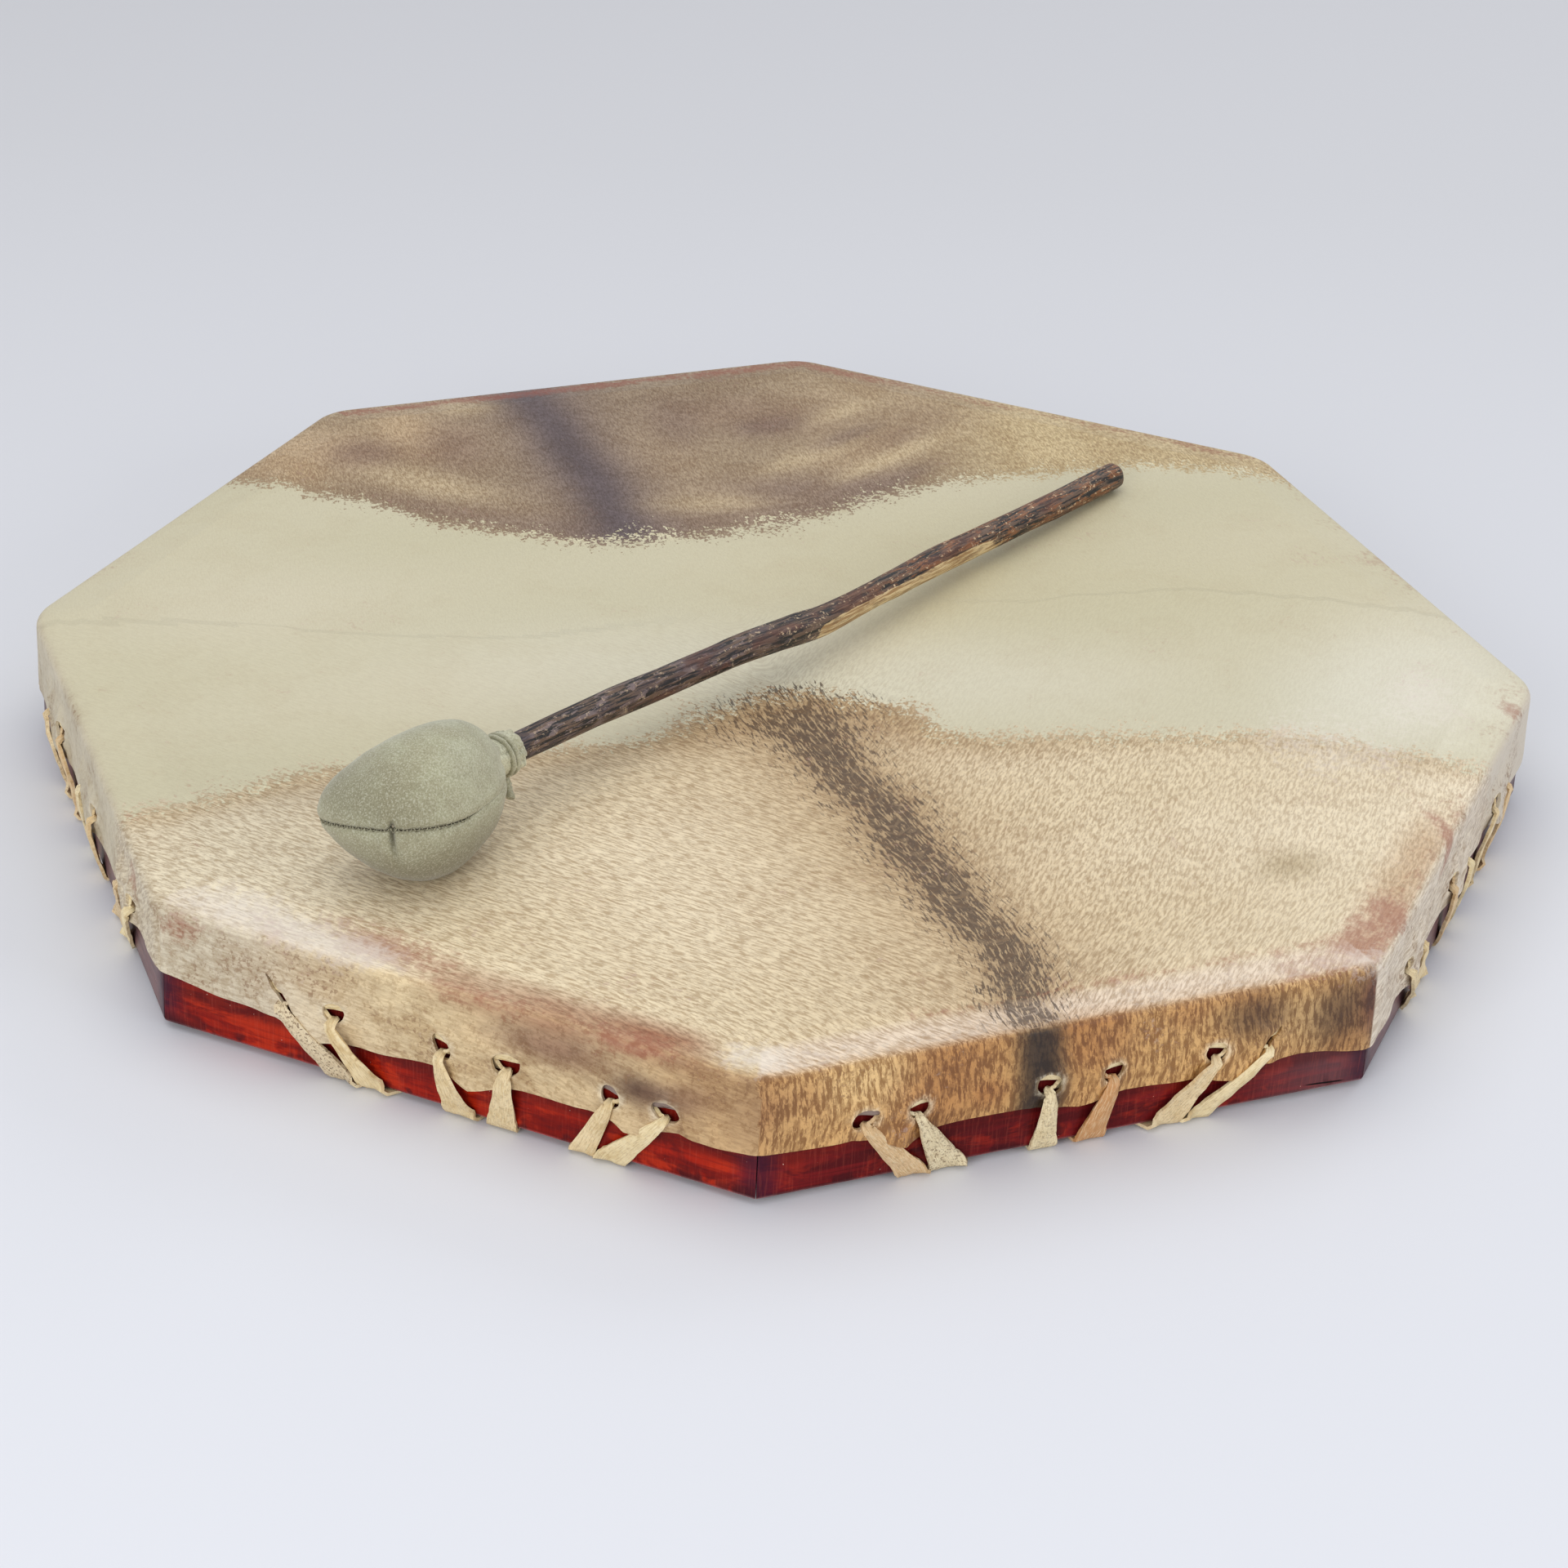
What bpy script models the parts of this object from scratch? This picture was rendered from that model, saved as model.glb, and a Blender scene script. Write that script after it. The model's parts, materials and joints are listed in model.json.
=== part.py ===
"""Octagonal frame drum with its beater.

Eight mitred boards make the frame. A rawhide head is stretched over it and folded down its sides. Paired holes
near the hem take rawhide laces, which pass under the boards, are bound into eight spokes and go round a ring at
the middle of the open back. The beater lies on the head. Metres, +Z up, origin on the floor under the middle.
"""

import math

import bmesh
import bpy
from mathutils import Matrix, Vector

# The frame
SIDES = 8
ACROSS_FLATS = 0.505            # of the wood, outer face to outer face
BOARD_HEIGHT = 0.0463           # at the crest, where the head leaves the wood
BOARD_THICKNESS = 0.0215
RIM_SLOPE = math.radians(8.0)   # the boards' top falls outwards
CREST_RADIUS = 0.0030
EDGE_RADIUS = 0.0022            # outer top edge
FOOT_RADIUS = 0.0015            # outer bottom edge, where the laces turn
INNER_CHAMFER = 0.0010
CORNER_RADIUS_TOP = 0.0200      # plan radius of the frame's corners, worn round at the top
CORNER_RADIUS_FOOT = 0.0010     # and nearly sharp at the bottom
MITRE_GAP = 0.0003

# The head
SKIN_THICKNESS = 0.0012
FIT_GAP = 0.0003                # between pieces that touch
HOLE_HEIGHT = 0.529 * BOARD_HEIGHT      # middle of the lacing holes, above the wood's bottom
HOLE_HALF_WIDTH = 0.0046
HOLE_HALF_HEIGHT = 0.0036
TORN_HALF_WIDTH = 0.0066        # two holes have torn longer
HEM_HEIGHT = 0.345 * BOARD_HEIGHT       # above the wood's bottom, at the middle of a side
HEM_AT_CORNER = [share * BOARD_HEIGHT for share in (0.374, 0.296, 0.330, 0.350, 0.330, 0.350, 0.330, 0.430)]
TAB_DROP = 0.0030               # the hem hangs lower between the two holes of a pair

# The laces
LACE_THICKNESS = 0.0014
LACE_WIDTH_HOLE = 0.0042        # just under a hole
LACE_WIDTH_FOOT = 0.0092        # where it turns under the board
LACE_WIDTH_INSIDE = 0.0062      # where it leaves the board inside
LACE_WIDTH_SPOKE = 0.0032
HOLES = (-0.069, -0.050, -0.010, 0.010, 0.050, 0.069)
HOLES_OF_SIDE = {
    0: (-0.071, -0.052, -0.010, 0.012, 0.0485, 0.068),
    6: (-0.071, -0.050, -0.013, 0.009, 0.052, 0.070),
    7: (-0.061, -0.0405, -0.002, 0.0205, 0.056, 0.075),
}
TORN_HOLES = {(0, 5), (7, 0)}   # side and hole
SPOKE_SHIFT_OF_SIDE = {0: -0.005, 7: 0.018}
GATHER_DEPTH = 0.065            # from the outer face in to the binding of a spoke
LEVEL_RUN = 0.018               # the strands lie level for this far before the binding
SLOT_PITCH = 0.0036             # of the strands side by side in a spoke
ROW_PITCH = 0.0018              # between the upper and lower strands in a spoke
SPOKE_HEIGHT = 0.0038           # middle of a spoke at its binding, above the floor

# The ring and the bindings
RING_RADIUS = 0.025
RING_ROD_RADIUS = 0.0025
RING_HEIGHT = 0.0048
RING_GAP = 0.0005
RING_SLOT_ANGLE = 0.172
BINDING_CORD_RADIUS = 0.0008
BINDING_TURNS = 4
BINDING_PITCH = 0.0026
BINDING_GAP = 0.00035

# The beater
BEATER_PLACE = (-0.1123, -0.1675)
BEATER_HEADING = math.radians(52.64)
HEAD_HALF = (0.0312, 0.0216, 0.0248)    # along the stick, across it and up, before the tip is drawn out
HEAD_TIP = 0.0069                       # the seam's far corner stands out this far, to one side of the stick's line
HEAD_TIP_WAY = (-0.607, 0.795, 0.0)
HEAD_TAPER = 0.178                      # the head narrows towards its tip
HEAD_FLAT = 0.0008                      # pressed flat where it rests
SEAM_LEAN = (0.076, 0.161, 0.984)       # the seam lies across this direction, a little off level
SEAM_GAP = 0.0008
COVER_THICKNESS = 0.0013
STICK_RADIUS = 0.0055
# Along the stick from the middle of its head, to the left of that line, clear height under the stick, and girth
STICK_ROUTE = (
    (-0.0140, 0.0048, 0.01970, 0.90),
    (0.0200, 0.0048, 0.01797, 0.93),
    (0.0534, 0.0048, 0.01642, 0.93),
    (0.0845, 0.0046, 0.01480, 0.96),
    (0.1050, 0.0043, 0.01367, 0.99),
    (0.1459, 0.0020, 0.01194, 0.96),
    (0.1589, 0.0016, 0.01117, 0.99),
    (0.1792, -0.0006, 0.01001, 1.03),
    (0.1997, -0.0030, 0.00907, 1.03),
    (0.2243, -0.0027, 0.00859, 0.91),
    (0.2502, -0.0019, 0.00727, 0.93),
    (0.2776, -0.0006, 0.00556, 1.01),
    (0.3045, -0.0002, 0.00457, 0.96),
    (0.3315, -0.0004, 0.00344, 0.94),
    (0.3598, -0.0002, 0.00202, 0.96),
    (0.3901, 0.0007, 0.00044, 0.99),
    (0.3975, 0.0006, 0.00031, 0.98),
)
NECK_GIRTH = 0.93
COLLAR_START = 0.0326
COLLAR_LENGTH = 0.0190
COLLAR_RADIUS = STICK_RADIUS * NECK_GIRTH + 0.0023
THONG_RADIUS = 0.0008
THONG_TURNS = 2

# What follows from them
HALF_TURN = math.pi / SIDES
APOTHEM = ACROSS_FLATS / 2
HALF_SIDE = APOTHEM * math.tan(HALF_TURN)
WOOD_BOTTOM = LACE_THICKNESS + FIT_GAP      # the drum stands on the laces that pass under it
CREST_TOP = WOOD_BOTTOM + BOARD_HEIGHT
SKIN_UNDERSIDE = CREST_TOP + FIT_GAP
SKIN_TOP = SKIN_UNDERSIDE + SKIN_THICKNESS
HOLE_Z = WOOD_BOTTOM + HOLE_HEIGHT
LACE_LIFT = LACE_THICKNESS + FIT_GAP        # the head bulges this far over a lace that passes behind it
RIM_Z = HOLE_Z - HOLE_HALF_HEIGHT           # lowest point of a hole, where its lace bears
LIP_Z = RIM_Z + FIT_GAP + 0.0010            # middle of the lace there
BULGE_TOP = HOLE_Z + 0.0045
BULGE_END = HOLE_Z + 0.238 * BOARD_HEIGHT


def clear_scene():
    for old in list(bpy.data.objects):
        bpy.data.objects.remove(old, do_unlink=True)


def collection(name):
    made = bpy.data.collections.new(name)
    bpy.context.scene.collection.children.link(made)
    return made


clear_scene()
DRUM = collection("octagonal_frame_drum")
CUTTERS = collection("cutters")


def material(name, colour, roughness, metallic=0.0):
    made = bpy.data.materials.new(name)
    made.use_nodes = True
    shader = made.node_tree.nodes["Principled BSDF"]
    shader.inputs["Base Color"].default_value = (*colour, 1.0)
    shader.inputs["Roughness"].default_value = roughness
    shader.inputs["Metallic"].default_value = metallic
    return made


STAINED_WOOD = material("stained_wood", (0.24, 0.035, 0.018), 0.35)
RAWHIDE = material("rawhide", (0.66, 0.56, 0.36), 0.45)
LACE = material("rawhide_lace", (0.63, 0.50, 0.28), 0.60)
RING_STEEL = material("ring_steel", (0.55, 0.55, 0.56), 0.35, 1.0)
BARK = material("bark", (0.06, 0.035, 0.025), 0.55)
WADDING = material("wadding", (0.75, 0.72, 0.65), 0.95)
SUEDE = material("suede", (0.34, 0.35, 0.24), 0.90)


def place(obj, name, finish, where=DRUM, sharp=math.radians(35)):
    """Name an object, give it its finish and its collection, and shade it smooth where it is round."""
    obj.name = name
    obj.data.name = name
    for old in list(obj.users_collection):
        old.objects.unlink(obj)
    where.objects.link(obj)
    obj.data.materials.clear()
    if finish:
        obj.data.materials.append(finish)
    if obj.type == "MESH":
        obj.data.shade_smooth()
        obj.data.set_sharp_from_angle(angle=sharp)
    return obj


def mesh_object(name, bm, finish, where=DRUM):
    data = bpy.data.meshes.new(name)
    bm.to_mesh(data)
    bm.free()
    return place(bpy.data.objects.new(name, data), name, finish, where)


def add_modifier(obj, kind, **values):
    modifier = obj.modifiers.new(kind.title(), kind)
    for key, value in values.items():
        setattr(modifier, key, value)
    return modifier


def cutter(obj):
    obj.display_type = "WIRE"
    obj.hide_render = True
    return obj


def corner_angle(k):
    """Corner 0 points to -Y, and the corners go round to the left, seen from above."""
    return -math.pi / 2 + k * 2 * HALF_TURN


def side_axes(k):
    """Side k lies between corners k and k+1: its outward direction and its direction along the board."""
    angle = corner_angle(k) + HALF_TURN
    outward = Vector((math.cos(angle), math.sin(angle), 0))
    return outward, Vector((-outward.y, outward.x, 0))


def on_side(k, along, out, z):
    """A point by its place along side k, its distance out from the wood's outer face, and its height."""
    outward, sideways = side_axes(k)
    return outward * (APOTHEM + out) + sideways * along + Vector((0, 0, z))


def corner_point(k, turn, apothem, radius, z):
    """A point on a rounded corner of an octagon, at an angle turn from the corner's own direction."""
    toward = corner_angle(k)
    middle = (apothem - radius) / math.cos(HALF_TURN)
    return Vector((middle * math.cos(toward) + radius * math.cos(toward + turn),
                   middle * math.sin(toward) + radius * math.sin(toward + turn), z))


def arc(centre, radius, angles):
    """Points of a board's section, by depth in from its face and height, with angles from straight up inwards."""
    return [(centre[0] + radius * math.sin(a), centre[1] + radius * math.cos(a)) for a in angles]


def rim_arcs():
    """The crest's arc and the outer edge's arc, tangent to the sloping top, from inside to outside."""
    crest = (BOARD_THICKNESS - CREST_RADIUS, CREST_TOP - CREST_RADIUS)
    reach = crest[0] * math.sin(-RIM_SLOPE) + crest[1] * math.cos(RIM_SLOPE) + CREST_RADIUS
    edge_z = (reach - EDGE_RADIUS - EDGE_RADIUS * math.sin(-RIM_SLOPE)) / math.cos(RIM_SLOPE)
    edge = (EDGE_RADIUS, edge_z)
    quarter = math.pi / 2
    inner = arc(crest, CREST_RADIUS, [quarter, quarter * 2 / 3, quarter / 3, 0, -RIM_SLOPE])
    outer_turns = [-RIM_SLOPE - (quarter - RIM_SLOPE) * i / 3 for i in range(4)]
    return inner, arc(edge, EDGE_RADIUS, outer_turns), crest, edge, outer_turns


def corner_radius(depth, z):
    """Plan radius of the frame's corner at a height, less towards the inside."""
    top = rim_arcs()[3][1]
    share = min(1.0, max(0.0, (z - WOOD_BOTTOM - FOOT_RADIUS) / (top - WOOD_BOTTOM - FOOT_RADIUS)))
    outer = CORNER_RADIUS_FOOT + (CORNER_RADIUS_TOP - CORNER_RADIUS_FOOT) * share
    return max(CORNER_RADIUS_FOOT, outer - depth)


def board_section():
    """The board's closed outline, by depth in from its outer face and height."""
    inner, outer, _, _, _ = rim_arcs()
    quarter = math.pi / 2
    foot = arc((FOOT_RADIUS, WOOD_BOTTOM + FOOT_RADIUS), FOOT_RADIUS, [-quarter, -quarter * 1.5, -2 * quarter])
    inside = [(BOARD_THICKNESS - INNER_CHAMFER, WOOD_BOTTOM), (BOARD_THICKNESS, WOOD_BOTTOM + INNER_CHAMFER)]
    return inner + outer + foot + inside


CORNER_STEPS = 2


def make_boards():
    """One board is lofted between its two mitres, and turned round for the rest."""
    section = board_section()
    bm = bmesh.new()
    turns = [(0, HALF_TURN * i / CORNER_STEPS) for i in range(CORNER_STEPS + 1)]
    turns += [(1, -HALF_TURN * (CORNER_STEPS - i) / CORNER_STEPS) for i in range(CORNER_STEPS + 1)]
    rings = []
    for corner, turn in turns:
        ring = []
        for depth, z in section:
            point = corner_point(corner, turn, APOTHEM - depth, corner_radius(depth, z), z)
            if turn == 0:
                toward = corner_angle(corner)
                across = Vector((-math.sin(toward), math.cos(toward), 0))
                point += across * (MITRE_GAP / 2) * (1 if corner == 0 else -1)
            ring.append(bm.verts.new(point))
        rings.append(ring)
    for one, two in zip(rings, rings[1:]):
        for i in range(len(section)):
            j = (i + 1) % len(section)
            bm.faces.new((one[i], one[j], two[j], two[i]))
    bm.faces.new(rings[0])
    bm.faces.new(rings[-1])
    bmesh.ops.recalc_face_normals(bm, faces=bm.faces)
    first = mesh_object("frame_board_1", bm, STAINED_WOOD)
    for k in range(1, SIDES):
        copy = bpy.data.objects.new(f"frame_board_{k + 1}", first.data)
        copy.rotation_euler.z = 2 * HALF_TURN * k
        DRUM.objects.link(copy)


def holes_of(k):
    return HOLES_OF_SIDE.get(k, HOLES)


def hole_half_width(k, hole):
    return TORN_HALF_WIDTH if (k, hole) in TORN_HOLES else HOLE_HALF_WIDTH


def pairs_of(k):
    holes = holes_of(k)
    return list(zip(holes[0::2], holes[1::2]))


BULGE_FOOT = 0.005      # the bulge starts this far outside a hole
BULGE_SHOULDER = 0.003  # and is full this far inside it


def bulge(k, along, z):
    """How far the head stands off the wood's face, beyond its fit gap, over the laces behind it."""
    lift = 0.0
    for left, right in pairs_of(k):
        inside = min(along - left, right - along)
        share = (inside + BULGE_FOOT) / (BULGE_FOOT + BULGE_SHOULDER)
        lift = max(lift, min(1.0, max(0.0, share)))
    fade = (BULGE_END - z) / (BULGE_END - BULGE_TOP)
    return LACE_LIFT * lift * min(1.0, max(0.0, fade))


def hem(k, along):
    """Height of the head's lower edge on side k."""
    share = abs(along) / HALF_SIDE
    corner = HEM_AT_CORNER[(k + (1 if along > 0 else 0)) % SIDES]
    height = HEM_HEIGHT + (corner - HEM_HEIGHT) * share ** 3
    for left, right in pairs_of(k):
        reach = (right - left) / 2
        near = abs(along - (left + right) / 2) / reach
        if near < 1:
            height -= TAB_DROP * (1 + math.cos(math.pi * near)) / 2
    return WOOD_BOTTOM + height


def head_columns(k):
    """Places along side k where the head's side panel has a column of points."""
    columns = []
    for left, right in pairs_of(k):
        columns += [left - BULGE_FOOT, left + BULGE_SHOULDER, (left + right) / 2]
        columns += [right - BULGE_SHOULDER, right + BULGE_FOOT]
    return columns


def head_ring(out, z, radius):
    """The eight corners of one ring of the head, each as its arc's points."""
    steps = range(-CORNER_STEPS, CORNER_STEPS + 1)
    return [[corner_point(k, HALF_TURN * i / CORNER_STEPS, APOTHEM + out, radius, z) for i in steps]
            for k in range(SIDES)]


def head_rows_above():
    """Rings of the head's underside from the crest to the outer edge: distance out, height and corner radius."""
    _, _, crest, edge, outer_turns = rim_arcs()
    rows = []
    for centre, radius, turns in ((crest, CREST_RADIUS, [0, -RIM_SLOPE]), (edge, EDGE_RADIUS, outer_turns)):
        for turn in turns:
            (depth, z), = arc(centre, radius, [turn])
            (far_depth, far_z), = arc(centre, radius + FIT_GAP, [turn])
            rows.append((-far_depth, far_z, corner_radius(depth, z) + depth - far_depth))
    return rows


PANEL_ROWS = 3


def panel_heights(k, along):
    """Heights of the points in a column of the head's side, the last on the hem."""
    return [BULGE_END, BULGE_TOP, hem(k, along)]


def make_head():
    """The head's underside as one open surface: flat, over the rim and down the sides. Solidify makes the skin."""
    bm = bmesh.new()
    previous = None
    for out, z, radius in head_rows_above():
        ring = [bm.verts.new(p) for corner in head_ring(out, z, radius) for p in corner]
        count = len(ring)
        if previous is None:
            bm.faces.new(ring)
        else:
            for i in range(count):
                j = (i + 1) % count
                bm.faces.new((previous[i], ring[i], ring[j], previous[j]))
        previous = ring
    per_corner = 2 * CORNER_STEPS + 1
    upper = [previous[k * per_corner:(k + 1) * per_corner] for k in range(SIDES)]

    def corner_column(k, i):
        """Points down a corner of the side, the lowest on the hem."""
        turn = HALF_TURN * (i - CORNER_STEPS) / CORNER_STEPS
        near_side = k if i >= CORNER_STEPS else k - 1
        end = -HALF_SIDE if i >= CORNER_STEPS else HALF_SIDE
        return [bm.verts.new(corner_point(k, turn, APOTHEM + FIT_GAP, corner_radius(0, z) + FIT_GAP, z))
                for z in panel_heights(near_side % SIDES, end)]

    corners = [[corner_column(k, i) for i in range(per_corner)] for k in range(SIDES)]
    for k in range(SIDES):
        for i in range(per_corner - 1):
            left, right = corners[k][i], corners[k][i + 1]
            bm.faces.new((upper[k][i], left[0], right[0], upper[k][i + 1]))
            for row in range(PANEL_ROWS - 1):
                bm.faces.new((left[row], left[row + 1], right[row + 1], right[row]))
        columns = [corners[k][-1]]
        for along in head_columns(k):
            columns.append([bm.verts.new(on_side(k, along, FIT_GAP + bulge(k, along, z), z))
                            for z in panel_heights(k, along)])
        columns.append(corners[(k + 1) % SIDES][0])
        top = [column[0] for column in columns]
        bm.faces.new([upper[k][-1]] + top + [upper[(k + 1) % SIDES][0]])
        for left, right in zip(columns, columns[1:]):
            for row in range(PANEL_ROWS - 1):
                bm.faces.new((left[row], left[row + 1], right[row + 1], right[row]))
    bmesh.ops.triangulate(bm, faces=[f for f in bm.faces if len(f.verts) == 4 and f.normal.z < 0.5])
    head = mesh_object("rawhide_head", bm, RAWHIDE)
    add_modifier(head, "SOLIDIFY", thickness=SKIN_THICKNESS, offset=1.0, use_even_offset=True)
    add_modifier(head, "BOOLEAN", operation="DIFFERENCE", solver="EXACT", object=make_hole_cutter())
    return head


HOLE_FACETS = 12


def make_hole_cutter():
    """Every lacing hole as an oval plug through the head, all in one mesh."""
    bm = bmesh.new()
    for k in range(SIDES):
        outward, sideways = side_axes(k)
        for hole, along in enumerate(holes_of(k)):
            middle = on_side(k, along, 0.0026, HOLE_Z)
            axes = Matrix((sideways, Vector((0, 0, 1)), outward)).transposed().to_4x4()
            shape = Matrix.Diagonal((hole_half_width(k, hole), HOLE_HALF_HEIGHT, 1, 1))
            bmesh.ops.create_cone(bm, cap_ends=True, segments=HOLE_FACETS, radius1=1, radius2=1, depth=0.0050,
                                  matrix=Matrix.Translation(middle) @ axes @ shape)
    return cutter(mesh_object("lacing_hole_plugs", bm, None, CUTTERS))


def skin_outside(k, along, z):
    """Distance of the head's outer surface from the wood's face."""
    return FIT_GAP + bulge(k, along, z) + SKIN_THICKNESS


def ribbon(name, stations, finish):
    """A closed loop of flat lace through stations: middle, width direction, thickness direction, width, thickness.

    The last station meets the first turned over, because the strip comes home the other way up.
    """
    bm = bmesh.new()
    rings = []
    for middle, across, through, width, thickness in stations:
        a, b = across * width / 2, through * thickness / 2
        rings.append([bm.verts.new(middle + offset) for offset in (a + b, b - a, -a - b, a - b)])
    for n, one in enumerate(rings):
        two = rings[(n + 1) % len(rings)]
        if n + 1 == len(rings):
            two = two[2:] + two[:2]
        for i in range(4):
            j = (i + 1) % 4
            bm.faces.new((one[i], one[j], two[j], two[i]))
    bmesh.ops.recalc_face_normals(bm, faces=bm.faces)
    return mesh_object(name, bm, finish)


def spoke_axes(k):
    """The spoke of side k: the point where it is bound, its outward direction and the direction across it."""
    point = on_side(k, SPOKE_SHIFT_OF_SIDE.get(k, 0.0), -GATHER_DEPTH, 0)
    outward = point.normalized()
    return point, outward, Vector((-outward.y, outward.x, 0))


def strand(k, hole, slot, row, to_partner):
    """One lace from the ring, along its spoke, under the board, up to its hole and in behind the head.

    row is 1 for the upper strand of a spoke and -1 for the lower. to_partner is the direction along the side to
    the pair's other hole. The strand is listed from the ring outwards, with its width and thickness directions.
    """
    up = Vector((0, 0, 1))
    outward, sideways = side_axes(k)
    bound, spoke_out, spoke_across = spoke_axes(k)
    half = LACE_THICKNESS / 2
    width, thick = LACE_WIDTH_SPOKE, LACE_THICKNESS
    hole_x = holes_of(k)[hole]
    spoke_x = SPOKE_SHIFT_OF_SIDE.get(k, 0.0) + slot * SLOT_PITCH
    run = LIP_Z + GATHER_DEPTH

    def along_at(travel):
        """The lace runs straight when the board's faces are laid flat."""
        return hole_x + (spoke_x - hole_x) * travel / run

    stations = []
    turn_radius = RING_ROD_RADIUS + RING_GAP + half
    azimuth = math.atan2(spoke_out.y, spoke_out.x) + slot * RING_SLOT_ANGLE
    radial = Vector((math.cos(azimuth), math.sin(azimuth), 0))
    around = Vector((-radial.y, radial.x, 0))
    rod = radial * RING_RADIUS + up * RING_HEIGHT
    for angle in (math.pi * 3 / 4, math.pi / 2):
        spot = radial * math.cos(angle) + up * math.sin(angle) * row
        stations.append((rod + spot * turn_radius, around, spot * row, width, thick))
    z = SPOKE_HEIGHT + row * ROW_PITCH / 2
    level = up * z + spoke_across * slot * SLOT_PITCH
    binding_length = BINDING_TURNS * BINDING_PITCH + 2 * BINDING_CORD_RADIUS
    stations.append((bound - spoke_out * binding_length + level, spoke_across, up, width, thick))
    stations.append((bound + level, spoke_across, up, width, thick))
    depth = GATHER_DEPTH - LEVEL_RUN
    stations.append((on_side(k, along_at(LIP_Z + depth), -depth, z), sideways, up, width, thick))
    depth = BOARD_THICKNESS + 0.0015
    stations.append((on_side(k, along_at(LIP_Z + depth), -depth, half), sideways, up, LACE_WIDTH_INSIDE, thick))
    bend = FOOT_RADIUS + FIT_GAP + half
    for angle in (0, math.pi / 4, math.pi / 2):
        out = -FOOT_RADIUS + bend * math.sin(angle)
        z = WOOD_BOTTOM + FOOT_RADIUS - bend * math.cos(angle)
        through = up * math.cos(angle) - outward * math.sin(angle)
        travel = LIP_Z + FOOT_RADIUS * (1 - math.sin(angle)) - z * math.sin(angle)
        stations.append((on_side(k, along_at(travel), out, z), sideways, through, LACE_WIDTH_FOOT, thick))

    def outside(z, width, thickness):
        """A station on the outer face, clear of the head under it."""
        along = along_at(LIP_Z - z)
        edges = (along - width / 2, along, along + width / 2)
        out = max(skin_outside(k, edge, z) for edge in edges) + FIT_GAP + thickness / 2
        return (on_side(k, along, out, z), sideways, -outward, width, thickness)

    near_hem = along_at(LIP_Z - hem(k, hole_x))
    half_wide = (LACE_WIDTH_FOOT + LACE_WIDTH_HOLE) / 4
    hem_z = min(hem(k, near_hem + edge) for edge in (-half_wide, 0, half_wide))
    stations.append(outside(hem_z - 0.0008, 2 * half_wide, thick))
    stations.append(outside(RIM_Z - 0.0014, LACE_WIDTH_HOLE, thick))
    stations.append(outside(RIM_Z + 0.0006, 0.0030, 0.0015))
    middle = skin_outside(k, hole_x, LIP_Z) - SKIN_THICKNESS / 2
    stations.append((on_side(k, hole_x, middle, LIP_Z), sideways, -up, 0.0024, 0.0016))
    behind = FIT_GAP + half
    x = hole_x + to_partner * 0.0026
    stations.append((on_side(k, x, behind, LIP_Z + 0.0009), outward * to_partner, -up, thick, 0.0024))
    return stations


def make_laces():
    """Three laces to a side, each through a pair of holes, its two ends meeting round the ring."""
    number = 0
    for k in range(SIDES):
        for pair, slot in enumerate((-1, 0, 1)):
            number += 1
            upper = strand(k, 2 * pair, slot, 1, 1)
            lower = strand(k, 2 * pair + 1, slot, -1, -1)
            back = [(middle, -across, through, wide, thick) for middle, across, through, wide, thick in lower]
            ribbon(f"lace_{number:02d}", upper + back[::-1] + [ring_station(k, slot)], LACE)


def ring_station(k, slot):
    """The innermost point of a lace's turn round the ring's rod."""
    _, spoke_out, _ = spoke_axes(k)
    azimuth = math.atan2(spoke_out.y, spoke_out.x) + slot * RING_SLOT_ANGLE
    radial = Vector((math.cos(azimuth), math.sin(azimuth), 0))
    around = Vector((-radial.y, radial.x, 0))
    turn_radius = RING_ROD_RADIUS + RING_GAP + LACE_THICKNESS / 2
    middle = radial * (RING_RADIUS - turn_radius) + Vector((0, 0, RING_HEIGHT))
    return (middle, -around, radial, LACE_WIDTH_SPOKE, LACE_THICKNESS)


def self_gap(points, radius, per_turn):
    """Least distance between a winding's surface and itself, from one turn to the next."""
    least = math.inf
    for i in range(len(points)):
        for j in range(i + per_turn // 2, len(points)):
            least = min(least, (points[i] - points[j]).length)
    return least - 2 * radius


def tube(name, points, radius, finish, resolution=1, girths=None):
    """A round cord or rod along points."""
    data = bpy.data.curves.new(name, "CURVE")
    data.dimensions = "3D"
    data.bevel_depth = radius
    data.bevel_resolution = resolution
    data.use_fill_caps = True
    spline = data.splines.new("POLY")
    spline.points.add(len(points) - 1)
    for i, point in enumerate(points):
        spline.points[i].co = (*point, 1)
        if girths:
            spline.points[i].radius = girths[i]
    return place(bpy.data.objects.new(name, data), name, finish)


def binding_loop():
    """One turn's outline round the strands of a spoke, a rectangle with its corners cut."""
    cord = BINDING_CORD_RADIUS + BINDING_GAP
    wide = SLOT_PITCH + LACE_WIDTH_SPOKE / 2 + cord + 0.00015
    high = (ROW_PITCH + LACE_THICKNESS) / 2 + cord
    cut_across, cut_up = 0.0007, 0.00125
    quarter = [(wide, high - cut_up), (wide - cut_across, high)]
    left = [(-x, z) for x, z in reversed(quarter)]
    return quarter + left + [(-x, -z) for x, z in quarter + left]


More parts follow.
